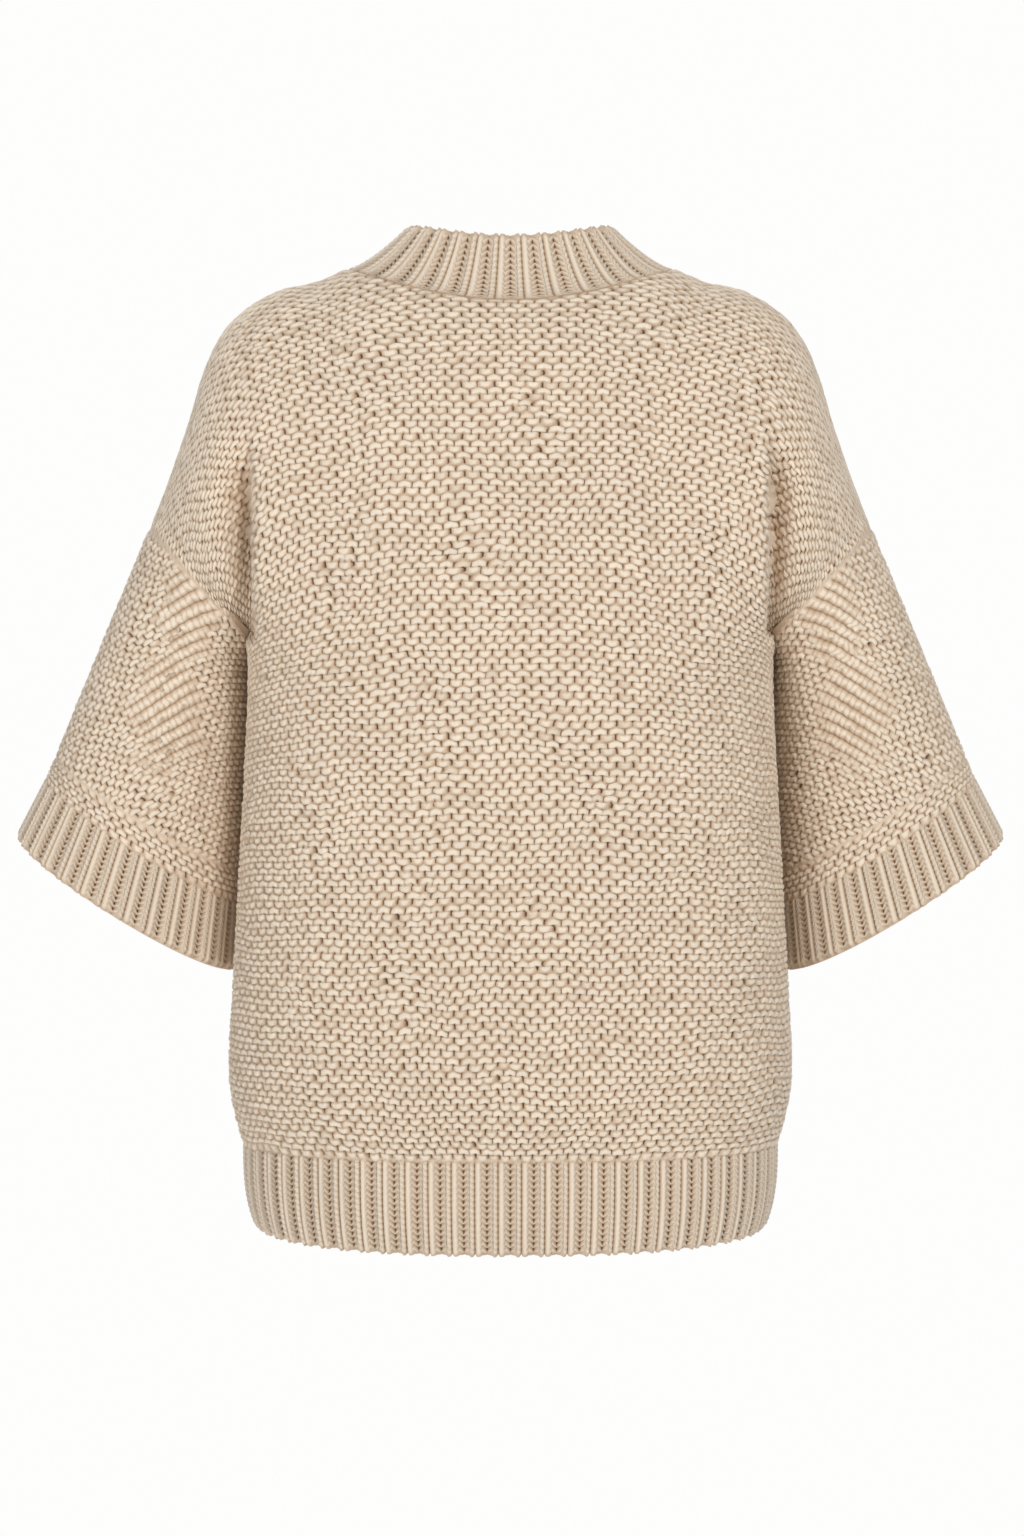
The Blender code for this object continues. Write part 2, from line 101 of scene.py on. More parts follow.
def readPast(grid, row, column, wrap=False):
    # as readGrid, run on straight past the first and the last row
    past = row - np.clip(row, 0.0, 1.0)
    slope = readGrid(grid, np.clip(row, 0.01, 1.0), column, wrap) - readGrid(grid, np.clip(row, 0.0, 0.99), column, wrap)
    slope = np.where(np.abs(past)[..., None] > 0.0, slope / 0.01, 0.0)
    return readGrid(grid, row, column, wrap) + slope * past[..., None]


def gridNormals(grid, row, column, middle, wrap=False):
    # cross product of the patch's two slopes, turned away from the point or line 'middle'
    step = 2e-3
    along = (readGrid(grid, np.minimum(row + step, 1.0), column, wrap)
             - readGrid(grid, np.maximum(row - step, 0.0), column, wrap))
    high, low = (column + step, column - step) if wrap else (
        np.minimum(column + step, 1.0), np.maximum(column - step, 0.0))
    across = readGrid(grid, row, high, wrap) - readGrid(grid, row, low, wrap)
    normals = unit(np.cross(across, along))
    facing = readGrid(grid, row, column, wrap) - middle
    return normals * np.sign(np.sum(normals * facing, axis=-1).mean())


# the garment's shape, with the same sections, shoulder line and rings as its solids

body = {
    "height": (-0.573, -0.562, -0.549, -0.532, -0.500, -0.450, -0.386, -0.298, -0.245),
    "halfWidth": (0.1742, 0.1782, 0.1826, 0.1845, 0.1828, 0.1800, 0.1767, 0.1721, 0.1702),
    "backDepth": (0.1125, 0.1185, 0.1245, 0.1270, 0.1255, 0.1225, 0.1195, 0.1175, 0.1165),
    "frontDepth": (0.1105, 0.1160, 0.1210, 0.1230, 0.1215, 0.1190, 0.1180, 0.1200, 0.1205),
    "roundness": 2.35,                       # exponent of the level sections
}
shoulder = {
    "across": (0, .0600, .1075, .1265, .1532, .1672, .1768, .1884, .1956, .2012, .2116, .2234, .2374),
    "height": (.0050, .0030, -.0026, -.0104, -.0167, -.0238, -.0306, -.0430, -.0556, -.0695,
               -.1030, -.1360, -.1709),
    "forward": 0.006,
    "armStart": 0.35,                        # share of the shoulder line where the arm's round begins
    "neckPoint": 0.1075,
    "neckAngle": {back: 60.0, front: 50.0},  # how far up the shoulder's round the neck is cut
    "armholeDepth": 0.060,
    "fullness": 0.72,
}
fold = {"across": 0.1665, "top": -0.112, "fadeIn": 0.050, "low": -0.250, "fadeOut": 0.012,
        "bodySide": 0.0034, "sleeveSide": 0.0125, "depth": 0.035, "margin": 0.06}


def sectionAngles(facing):
    # angle along each level section at even shares of its length, for many heights
    heights = np.linspace(body["height"][0], body["height"][-1], 40)
    angle = np.linspace(0.0, math.pi / 2, 400)
    power = 2.0 / body["roundness"]
    depths = body["backDepth"] if facing == back else body["frontDepth"]
    x = tableCurve(body["height"], body["halfWidth"], heights)[:, None] * np.sin(angle) ** power
    y = tableCurve(body["height"], depths, heights)[:, None] * np.abs(np.cos(angle)) ** power
    distance = runLength(np.stack((x, y), axis=-1).transpose(1, 0, 2)).T
    share = np.linspace(0.0, 1.0, 201)
    return heights, share, np.array([np.interp(share * d[-1], d, angle) for d in distance])


def halfSection(facing, height, fraction, angles):
    # level superellipse x = a sin^p, y = b cos^p, read at an even share of its length
    heights, share, table = angles
    r = np.interp(height, heights, np.arange(len(heights)))
    c = np.interp(fraction, share, np.arange(len(share)))
    r0, c0 = np.minimum(r.astype(int), len(heights) - 2), np.minimum(c.astype(int), len(share) - 2)
    fr, fc = r - r0, c - c0
    angle = ((1 - fr) * ((1 - fc) * table[r0, c0] + fc * table[r0, c0 + 1])
             + fr * ((1 - fc) * table[r0 + 1, c0] + fc * table[r0 + 1, c0 + 1]))
    power = 2.0 / body["roundness"]
    depths = body["backDepth"] if facing == back else body["frontDepth"]
    x = tableCurve(body["height"], body["halfWidth"], height) * np.sin(angle) ** power
    y = tableCurve(body["height"], depths, height) * np.maximum(np.cos(angle), 0.0) ** power
    return np.stack((x, facing * np.where(fraction > 0.9999, 0.0, y), height), axis=-1)


def shoulderLine():
    places = np.linspace(0, len(shoulder["across"]) - 1, 600)
    across = np.interp(places, np.arange(len(shoulder["across"])), shoulder["across"])
    height = tableCurve(shoulder["across"], shoulder["height"], across)
    distance = runLength(np.stack((across, height), axis=1))
    return distance / distance[-1], across, height


def panelGrid(facing, rowCount=150, columnCount=161):
    # Half a panel as a regular grid: columns at even shares of the shoulder line and of the level
    # sections, rows at even shares of each column's length from the hem to the shoulder line.
    # Below the underarm a column follows the level sections; above it turns over to the shoulder line:
    # across and height go with sin^2 and sin^(1 + arm), depth with cos^fullness plus the arm's round.
    angles = sectionAngles(facing)
    lineShare, lineAcross, lineHeight = shoulderLine()
    fraction = np.linspace(0.0, 1.0, columnCount)
    low, top = body["height"][0] + seamGap / 2, body["height"][-1]
    heights = np.linspace(low, top, 160)[:, None] + 0.0 * fraction
    torso = halfSection(facing, heights, fraction + 0.0 * heights, angles)
    base = torso[-1]
    ridgeX = np.interp(fraction, lineShare, lineAcross)
    ridgeZ = np.interp(fraction, lineShare, lineHeight)
    angle = np.linspace(0.0, math.pi / 2, 240)[1:, None] + 0.0 * fraction
    arm = softStep((fraction - shoulder["armStart"]) / (1.0 - shoulder["armStart"]))
    sine, cosine = np.sin(angle), np.maximum(np.cos(angle), 0.0)
    across = base[:, 0] + (ridgeX - base[:, 0]) * sine**2
    height = base[:, 2] + (ridgeZ - base[:, 2]) * sine ** (1.0 + arm)
    depth = np.abs(base[:, 1]) * cosine ** shoulder["fullness"]
    depth = depth + shoulder["armholeDepth"] * arm * 2.0 * sine * cosine
    forward = facing * depth + shoulder["forward"] * arm * sine**2
    dense = np.concatenate((torso, np.stack((across, forward, height), axis=-1)))
    distance = runLength(dense)
    wanted = np.linspace(0.0, 1.0, rowCount)
    grid = np.empty((rowCount, columnCount, 3))
    for column in range(columnCount):
        along = distance[:, column]
        for axis in range(3):
            grid[:, column, axis] = np.interp(wanted * along[-1], along, dense[:, column, axis])
    grid = easeCrease(grid, 60)
    grid[..., 1] -= facing * foldDepth(grid[..., 0], grid[..., 2], fraction)
    return {"grid": grid, "whole": distance[-1], "turn": distance[len(torso) - 1:], "facing": facing}


def foldDepth(across, height, fraction):
    # the fold beside the arm, a bell across it: steep on the body's side, easy on the sleeve's
    past = across - fold["across"]
    lean = np.exp(-(past / np.where(past < 0.0, fold["bodySide"], fold["sleeveSide"])) ** 2)
    ease = softStep((fold["top"] - height) / fold["fadeIn"]) * softStep((height - fold["low"]) / fold["fadeOut"])
    return fold["depth"] * lean * ease * softStep((1.0 - fraction) / fold["margin"])


def neckCut(form, fraction):
    # length of a column up to the neck's edge: the edge goes up the shoulder's round from the neck
    # angle in the middle to the shoulder line at the neck point, as a quarter of an ellipse
    lineShare, lineAcross, _ = shoulderLine()
    overNeck = np.clip(fraction / np.interp(shoulder["neckPoint"], lineAcross, lineShare), 0.0, 1.0)
    neckAngle = math.radians(shoulder["neckAngle"][form["facing"]])
    angle = math.pi / 2 - (math.pi / 2 - neckAngle) * np.sqrt(1.0 - overNeck**2)
    turn = form["turn"]
    r = angle / (math.pi / 2) * (len(turn) - 1)
    c = fraction * (turn.shape[1] - 1)
    r0, c0 = np.minimum(r.astype(int), len(turn) - 2), np.minimum(c.astype(int), turn.shape[1] - 2)
    fr, fc = r - r0, c - c0
    return ((1 - fr) * ((1 - fc) * turn[r0, c0] + fc * turn[r0, c0 + 1])
            + fr * ((1 - fc) * turn[r0 + 1, c0] + fc * turn[r0 + 1, c0 + 1]))


def easeCrease(grid, passes):
    # evens out the crease at underarm height inside the panel; its edges stay where they are
    rows, columns = grid.shape[:2]
    row, column = np.arange(rows), np.arange(columns)
    hold = (softStep(row / 8.0) * softStep((rows - 1 - row) / 14.0))[:, None]
    hold = hold * softStep((columns - 1 - column) / 7.0)
    for _ in range(passes):
        even = grid.copy()
        even[1:-1] = 0.25 * grid[:-2] + 0.5 * grid[1:-1] + 0.25 * grid[2:]
        grid = grid + (even - grid) * hold[..., None]
    return grid


# knitting: purl stitches as rows of beads

knit = {
    "courses": 75,                           # rows of stitches from the hem band to the shoulder line
    "firstLevel": 0.49,                      # where up its course the lowest row of cups starts
    "relief": 0.40,                          # a bead's crest above the gap beside it, in courses
    "sink": 0.55,                            # share of the relief that lies inside the solid's face
    "hang": 1.5,                             # and how many times more along the hem band
    "wave": 0.060,                           # how far the rows of beads wave, in courses
    "jitter": 0.045,                         # unevenness of the beads, in stitches
    "rough": 1.1,                            # and this many times more in loose patches
    "drift": 0.13,                           # slow wandering of whole patches, in stitches
    "seam": 0.62,                            # height of the knitting where it is sewn, 0 to 1
    "neckShade": 0.42,                       # painted shade: the neck's seam is this much darker
    "seamLight": 0.16,                       # the seams get this much less painted shade than a flank of that height
}


def slowWaves(rng, u, v):
    # sum of eight plane waves, 5 to 16 stitches long, in random directions
    total = 0.0 * u
    for _ in range(8):
        way, size, phase = rng.uniform(0, 2 * math.pi), rng.uniform(5.0, 16.0), rng.uniform(0, 2 * math.pi)
        total = total + np.sin(2 * math.pi * (u * math.cos(way) + v * math.sin(way)) / size + phase)
    return total / 2.0


def stitchField(columnCount, rowCount, seed, looser=1.0):
    # A flat field of purl stitches, six points to a stitch both ways. Up each course comes a row of
    # hoods (n shaped beads with gaps at u = .5) and a row of cups (u shaped beads with gaps at u = 0),
    # with a flat join under the hoods and a zigzag one above them; every row of points waves by
    # wave * cos(2 pi u). Beads are shifted, raised and toned at random.
    rng = np.random.default_rng(seed)
    hoods = np.array((0.0, 0.18, 0.40, 0.50, 0.60, 0.82))
    cups = np.array((0.0, 0.10, 0.32, 0.50, 0.68, 0.90))
    between = (hoods + cups) / 2
    across = np.stack((between, hoods, hoods, between, cups, cups))
    rise = np.array(((0.06, 0.60, 0.68, 0.50, 0.68, 0.60),
                     (1.00, 1.00, 0.94, 0.12, 0.94, 1.00),
                     (1.00, 0.98, 0.84, 0.02, 0.84, 0.98),
                     (0.64, 0.54, 0.42, 0.28, 0.42, 0.54),
                     (0.04, 0.62, 0.90, 0.98, 0.90, 0.62),
                     (0.00, 0.74, 1.00, 1.00, 1.00, 0.74)))
    cords = np.array(((0.20, 0.28, 0.32, 0.20, 0.32, 0.28),    # the same drawn tight, one cord to a course
                      (0.52, 0.70, 0.74, 0.50, 0.74, 0.70),
                      (0.72, 0.94, 0.98, 0.70, 0.98, 0.94),
                      (0.76, 1.00, 1.00, 0.74, 1.00, 1.00),
                      (0.72, 0.94, 0.98, 0.72, 0.98, 0.94),
                      (0.48, 0.66, 0.70, 0.48, 0.70, 0.66)))
    level = np.array((0.0, 0.13, 0.36, 0.49, 0.62, 0.87))
    sway = np.array((0.35, 0.60, 0.90, 1.10, 1.00, 0.45))
    isBead = np.array((0.0, 1.0, 1.0, 0.0, 1.0, 1.0))
    column, row = np.arange(columnCount * 6 + 1), np.arange(rowCount * 6 + 1)
    stitch, step = column // 6, column % 6
    course, part = row // 6, row % 6
    spot = across[part][:, step]
    wave = knit["wave"] * sway[part][:, None] * np.cos(2 * math.pi * spot)
    plainU, plainV = column / 6 + 0.0 * spot, (course + level[part])[:, None] + 0.0 * spot
    bead = isBead[part][:, None] + 0.0 * spot
    loose = bead * looser * knit["jitter"] * (1.0 + knit["rough"] * softStep(slowWaves(rng, plainU, 0.7 * plainV) - 0.3))
    which = stitch + ((part < 3)[:, None] & (spot > 0.5))
    line = (course * 2 + (part > 3))[:, None] + 0 * which
    draws = rng.normal(0.0, 1.0, (4, rowCount * 2 + 2, columnCount + 2)).clip(-2.0, 2.0)
    drift = [knit["drift"] * slowWaves(rng, plainU, plainV) for _ in range(2)]
    return {"plainU": plainU, "plainV": plainV,
            "shiftU": stitch + spot - column / 6 + loose * draws[0][line, which] + drift[0],
            "shiftV": wave + loose * 0.8 * draws[1][line, which] + 0.6 * drift[1],
            "wave": wave + 0.0 * plainU,
            "cord": cords[part][:, step] * (1.0 + 0.05 * bead * draws[2][line, which]),
            "height": rise[part][:, step] * (1.0 + 0.07 * bead * draws[2][line, which]),
            "tone": bead * draws[3][line, which]}


def gridFaces(rows, columns, wrap=False):
    # quads of a regular grid of points, numbered row after row
    row = np.arange(rows - 1)[:, None]
    column = np.arange(columns if wrap else columns - 1)[None, :]
    a, b = row * columns + column, row * columns + (column + 1) % columns
    return np.stack((a, b, b + columns, a + columns), axis=-1).reshape(-1, 4)


def weldPoints(points, quads):
    # joins points that lie on each other; a quad with two joined corners becomes a triangle
    keys = np.round(points * 2e5).astype(np.int64)
    _, first, index = np.unique(keys, axis=0, return_index=True, return_inverse=True)
    index = index.reshape(-1)
    quads = index[quads]
    a, b, c, d = quads.T
    crossed = (a == c) | (b == d)
    same = np.stack((a == b, b == c, c == d, d == a), axis=1)
    count = same.sum(axis=1)
    whole = quads[(count == 0) & ~crossed]
    cornered = quads[(count == 1) & ~crossed]
    left = np.array(((0, 2, 3), (0, 1, 3), (0, 1, 2), (0, 1, 2)))    # corners left for each joined side
    threes = np.take_along_axis(cornered, left[np.argmax(same[(count == 1) & ~crossed], axis=1)], axis=1)
    return first, index, whole, threes


def zipRuns(fine, fineShare, coarse, coarseShare):
    # triangles between two runs of points of different counts, matched by their shares of the length
    middle = (fineShare[1:] + fineShare[:-1]) / 2
    turns = (coarseShare[1:] + coarseShare[:-1]) / 2
    one = np.stack((fine[:-1], fine[1:], coarse[np.searchsorted(turns, middle)]), axis=1)
    two = np.stack((coarse[:-1], fine[np.searchsorted(middle, turns, side="right")], coarse[1:]), axis=1)
    return np.concatenate((one, two))


def makeMesh(name, points, faceSets, insideCount, materials, fields, rims=()):
    # one closed object from arrays; the last insideCount faces take the second material
    faceSets = [faces for faces in faceSets if len(faces)]
    corners = np.concatenate([faces.reshape(-1) for faces in faceSets])
    sizes = np.concatenate([np.full(len(faces), faces.shape[1]) for faces in faceSets])
    mesh = bpy.data.meshes.new(name)
    mesh.vertices.add(len(points))
    mesh.vertices.foreach_set("co", points.astype(np.float32).ravel())
    mesh.loops.add(len(corners))
    mesh.loops.foreach_set("vertex_index", corners.astype(np.int32))
    mesh.polygons.add(len(sizes))
    mesh.polygons.foreach_set("loop_start", np.concatenate(([0], np.cumsum(sizes)[:-1])).astype(np.int32))
    inside = np.zeros(len(sizes), np.int32)
    if insideCount:
        inside[-insideCount:] = 1
    mesh.polygons.foreach_set("material_index", inside)
    mesh.update(calc_edges=True)
    for field, values in fields.items():
        isVector = values.ndim == 2
        layer = mesh.attributes.new(field, "FLOAT_VECTOR" if isVector else "FLOAT", "POINT")
        layer.data.foreach_set("vector" if isVector else "value", values.astype(np.float32).ravel())
    for material in materials:
        mesh.materials.append(material)
    if len(rims):
        isRim = np.zeros(len(points), bool)
        isRim[np.concatenate(rims)] = True
        ends = np.empty(len(mesh.edges) * 2, np.int32)
        mesh.edges.foreach_get("vertices", ends)
        sharp = mesh.attributes.new("sharp_edge", "BOOLEAN", "EDGE")
        sharp.data.foreach_set("value", isRim[ends.reshape(-1, 2)].all(axis=1))
    form = bmesh.new()
    form.from_mesh(mesh)
    loose = [vertex for vertex in form.verts if not vertex.link_faces]
    bmesh.ops.delete(form, geom=loose, context="VERTS")
    gaps = [edge for edge in form.edges if len(edge.link_faces) == 1]
    if gaps:
        bmesh.ops.holes_fill(form, edges=gaps, sides=8)
    bmesh.ops.recalc_face_normals(form, faces=form.faces)
    open_ = sum(len(edge.link_faces) != 2 for edge in form.edges)
    form.to_mesh(mesh)
    form.free()
    mesh.shade_smooth()
    piece = bpy.data.objects.new(name, mesh)
    bpy.context.scene.collection.objects.link(piece)
    print(name, "triangles", int((sizes - 2).sum()), "edges not shared by two faces", open_)
    return piece


def closeWall(name, outer, inner, materials):
    # outer and inner: points, face sets, edge runs (points, shares) and fields; the runs are zipped up
    shift = len(outer["points"])
    strips, rims = [], []
    for (fine, fineShare), (coarse, coarseShare) in zip(outer["runs"], inner["runs"]):
        keep, few = (np.concatenate(([True], run[1:] != run[:-1])) for run in (fine, coarse))
        strips.append(zipRuns(fine[keep], fineShare[keep], coarse[few] + shift, coarseShare[few]))
        rims += [fine, coarse + shift]
    inside = [faces + shift for faces in inner["faces"]]
    points = np.concatenate((outer["points"], inner["points"]))
    fields = {key: np.concatenate((outer["fields"][key], inner["fields"][key])) for key in outer["fields"]}
    return makeMesh(name, points, outer["faces"] + strips + inside, sum(len(faces) for faces in inside),
                    materials, fields, rims)


def edgeRuns(index, acrossShare, alongShare):
    # the four sides of a grid of point numbers, with their shares
    return [(index[0], acrossShare[0]), (index[-1], acrossShare[-1]),
            (index[:, 0], alongShare[:, 0]), (index[:, -1], alongShare[:, -1])]


# the back and the two fronts

panel = {
    "stitchAt": (0.0, 0.19, 0.47, 0.75, 1.0),     # shares of the courses
    "stitches": (29.0, 27.5, 26.0, 30.0, 33.0),   # stitches in half a panel there
    "bunch": (-0.12, -0.06, 0.06, 0.09, 0.10),    # above 0 they are wider in the middle
    "underarm": 0.53,                             # share of the courses below the underarm
    "sag": 0.026,                                 # the courses hang lower at the side by this much
    "crowd": 0.50,                                # and crowd towards the tip of the shoulder
    "mostStitches": 33,
    "splitCourse": 38,                            # the back is made as two pieces that meet in a gap
}


def courseLength(form, fraction, course):
    # distance from the hem to a course: level below, sagging with fraction^2; above the underarm a
    # share t + crowd fraction^2 t (1 - t) of what is left of the column
    middle = form["whole"][0]
    whole = np.interp(fraction, np.linspace(0.0, 1.0, len(form["whole"])), form["whole"])
    share = course / knit["courses"]
    under, sag = panel["underarm"], panel["sag"] * fraction**2
    low = share * middle - sag * np.clip(share / under, 0.0, 1.0) ** 1.3
    start = under * middle - sag
    t = np.clip((share - under) / (1.0 - under), 0.0, 1.0)
    high = start + (whole - start) * (t + panel["crowd"] * fraction**2 * t * (1.0 - t))
    return np.where(share < under, low, high), whole


def stitchFraction(stitch, course):
    # share of the panel's half width: s = f - b sin(pi f) / pi, solved for f
    share = course / knit["courses"]
    count = tableCurve(panel["stitchAt"], panel["stitches"], share)
    bunch = tableCurve(panel["stitchAt"], panel["bunch"], share)
    s = np.clip(np.abs(stitch) / count, 0.0, 1.0)
    fraction = s
    for _ in range(8):
        fraction = s + bunch * np.sin(math.pi * fraction) / math.pi
    return np.where(s >= 1.0, 1.0, fraction), count


def fromHem(course):
    # courses counted from the lowest row of points that is kept
    first = knit["firstLevel"]
    return (course - first) * knit["courses"] / (knit["courses"] - first)


def heldRows(length, cut):
    # for each column of points, its rows with those past the neck's edge replaced by the first past it
    over = length >= cut
    last = np.where(over.any(axis=0), over.argmax(axis=0), len(over) - 1)
    return np.minimum(np.arange(len(over))[:, None], last)


def panelPiece(name, form, isWhole, firstCourse, lastCourse, seed, materials):
    most = panel["mostStitches"]
    field = stitchField(most * (2 if isWhole else 1), knit["courses"], seed)
    rows = slice(max(firstCourse * 6, 3), lastCourse * 6 + 1)     # the lowest row is one of cups
    field = {key: values[rows] for key, values in field.items()}
    stitch, course = field["plainU"] - (most if isWhole else 0), fromHem(field["plainV"])
    _, count = stitchFraction(stitch, course)
    inPanel = softStep((count - np.abs(stitch)) / 0.8) * softStep((knit["courses"] - course) / 0.5)
    if not isWhole:
        inPanel = inPanel * softStep(stitch / 0.8)
    free = inPanel * softStep(course / 0.16)
    stitch = stitch + field["shiftU"] * free
    hang = (field["wave"] - np.abs(field["wave"]).max(axis=1, keepdims=True)) * (inPanel - free)
    course = course + field["shiftV"] * free + knit["hang"] * hang
    fraction = stitchFraction(stitch, course)[0] * np.sign(stitch)
    length, whole = courseLength(form, np.abs(fraction), course)
    size = (courseLength(form, np.abs(fraction), course + 0.5)[0]
            - courseLength(form, np.abs(fraction), course - 0.5)[0])
    cut = neckCut(form, np.abs(fraction))
    free = free * softStep((cut - length) / 0.004)
    height = knit["seam"] + (field["height"] - knit["seam"]) * free
    held = heldRows(length, cut)
    fraction, length, whole, cut, size, height, free, tone, tileU, tileV = (
        np.take_along_axis(values, held, axis=0) for values in (
            fraction, length, whole, cut, size, height, free, field["tone"] * free,
            field["plainU"] + field["shiftU"], field["plainV"]))
    # painted shade and highlight follow the height; the seams get less painted shade, the neck's seam more
    neckEdge = softStep(1.0 - (cut - length) / 0.003) * (cut < 0.999 * whole)
    shade = height + knit["seamLight"] * (1.0 - free) - knit["neckShade"] * neckEdge
    share = np.minimum(length, cut) / whole
    column = (1.0 + fraction) / 2 if isWhole else fraction
    grid = mirroredGrid(form["grid"]) if isWhole else form["grid"]
    place = readPast(grid, share, column)
    normal = gridNormals(grid, share, column, bodyMiddle(place))
    rise = knit["relief"] * np.clip(size, 0.0035, 0.0092) * (height - knit["sink"])
    rise = rise + 0.0009 * softStep(1.0 - length / 0.0012)        # the lowest row stands over the band
    points = place + normal * rise[..., None]
    if not isWhole:
        points[:, 0, 0] = frontGap / 2
    tile = np.stack((tileU, tileV, 1.0 - free), axis=-1)     # the third value is 1 where no plies show
    shape = points.shape[:2]
    first, index, quads, threes = weldPoints(points.reshape(-1, 3), gridFaces(*shape))
    index = index.reshape(shape)
    fields = {"stitch": tile.reshape(-1, 3)[first], "relief": shade.ravel()[first], "tone": tone.ravel()[first]}
    outer = {"points": points.reshape(-1, 3)[first], "faces": [quads, threes], "fields": fields,
             "runs": edgeRuns(index, fraction, field["plainV"])}
    # the plain inner face, one quad to a stitch
    across = np.linspace(-1.0 if isWhole else 0.0, 1.0, (2 if isWhole else 1) * 29 + 1)
    courses = fromHem(np.maximum(np.arange(firstCourse, lastCourse + 1.0), knit["firstLevel"]))
    courses = courses[:, None] + 0.0 * across
    across = across + 0.0 * courses
    length, whole = courseLength(form, np.abs(across), courses)
    share = np.minimum(length, neckCut(form, np.abs(across))) / whole
    column = (1.0 + across) / 2 if isWhole else across
    place = readGrid(grid, share, column)
    place = place - wallThick * gridNormals(grid, share, column, bodyMiddle(place))
    if not isWhole:
        place[:, 0, 0] = frontGap / 2
    shape = place.shape[:2]
    first, index, quads, threes = weldPoints(place.reshape(-1, 3), gridFaces(*shape))
    tile = np.stack((across * 29, courses, 1.0 + 0 * across), axis=-1).reshape(-1, 3)
    inner = {"points": place.reshape(-1, 3)[first], "faces": [quads, threes],
             "fields": {"stitch": tile[first], "relief": np.full(len(first), 0.8), "tone": np.zeros(len(first))},
             "runs": edgeRuns(index.reshape(shape), across, courses)}
    return closeWall(name, outer, inner, materials)


def mirroredGrid(grid):
    return np.concatenate(((grid * np.array((-1.0, 1.0, 1.0)))[:, :0:-1], grid), axis=1)


def bodyMiddle(points):
    # the line down the middle of the body, at each point's own height, kept below the shoulders
    middle = points * np.array((0.25, 0.0, 1.0))
    middle[..., 2] = np.minimum(middle[..., 2], -0.12)
    return middle


# the sleeves

sleeve = {
    # inner across, inner height, inner forward, outer across, outer height, outer forward, half depth, droop
    "rings": ((.1702, -.2450, .000, .2374, -.1709, .006, .0600, .000),
              (.1742, -.2580, .012, .2473, -.1945, .007, .0612, .000),
              (.1750, -.2760, .024, .2577, -.2190, .008, .0625, .010),
              (.1757, -.3080, .036, .2720, -.2530, .010, .0640, .025),
              (.1775, -.3600, .041, .2888, -.2935, .011, .0655, .045),
              (.1805, -.4180, .043, .3057, -.3345, .012, .0665, .065)),
    "cuffEnd": (.1830, -.4635, .044, .3255, -.3725, .013, .0700, .095),
    "halfRound": 0.225,                      # half the way round the sleeve
    "length": 0.175,                         # from the armhole's seam to the cuff's
    "stitchWide": 0.0080,
    "courseHigh": 0.0068,
    "looser": 1.15,                           # the stitches are this much more uneven than the panels'
    "climb": 32.0,                           # the courses climb towards the body by this angle
    "flatFrom": 0.178,                       # and are level up to here
    "flatTo": 0.215,                         # and in full climb from here
    "bandCourses": 3,                        # level courses above the cuff
    "cordFrom": 0.34,                        # between these shares of the way from its outer to its inner
    "cordTo": 0.72,                          # edge the stitches are pulled into tight cords
}


def ringGrid(rings, columnCount=96):
    # each ring: middle - cos(angle) * half - sin(angle) * deep; 0 is its inner edge, its back half first
    angle = np.linspace(0.0, 2 * math.pi, columnCount, endpoint=False)
    inner = np.stack((rings[:, 0], rings[:, 2], rings[:, 1]), axis=1)
    outer = np.stack((rings[:, 3], rings[:, 5], rings[:, 4]), axis=1)
    rise = np.stack((rings[:, 3] - rings[:, 0], 0 * rings[:, 0], rings[:, 4] - rings[:, 1]), axis=1)
    along = unit(np.cross(np.array((0.0, 1.0, 0.0)), rise))
    deep = rings[:, 6:7] * (np.array((0.0, 1.0, 0.0)) - rings[:, 7:8] * along)
    middle, half = (inner + outer) / 2, (outer - inner) / 2
    grid = (middle[:, None] - np.cos(angle)[None, :, None] * half[:, None]
            - np.sin(angle)[None, :, None] * deep[:, None])
    return grid, middle


def sleeveGrid():
    rings = np.array(sleeve["rings"])
    middle = ringGrid(rings)[1]
    knots = runLength(middle)
    share = np.linspace(0.0, 1.0, 41)
    return ringGrid(np.stack([tableCurve(knots / knots[-1], rings[:, k], share) for k in range(8)], axis=1))


def rowChart(grid):
    # Where the stitches' two directions lie on the sleeve's back half, for each share of its length and
    # of the half round: up the courses h = (z - g(x)) cos(climb), g level beside the body and falling
    # with tan(climb) beyond; along them r = z sin(climb) - x cos(climb), plus what the way round the
    # sleeve is longer than its picture.
    climb = math.radians(sleeve["climb"])
    down, share = np.meshgrid(np.linspace(0.0, 1.0, 41), np.linspace(0.0, 0.5, 61), indexing="ij")
    place = readGrid(grid, down, share, True)
    steps = np.diff(place, axis=1)
    surplus = np.linalg.norm(steps, axis=-1) - np.linalg.norm(steps[..., (0, 2)], axis=-1)
    surplus = np.concatenate((np.zeros((len(down), 1)), np.cumsum(surplus, axis=1)), axis=1)
    surplus = surplus[:, 30:31] - surplus
    x, z = place[..., 0], place[..., 2]
    width = sleeve["flatTo"] - sleeve["flatFrom"]
    t = (x - sleeve["flatFrom"]) / width
    fall = math.tan(climb) * width * np.where(t < 0.0, 0.0, np.where(t < 1.0, t * t / 2, t - 0.5))
    return np.stack((z * math.sin(climb) - x * math.cos(climb) + surplus, (z + fall) * math.cos(climb), 0 * x), axis=-1)


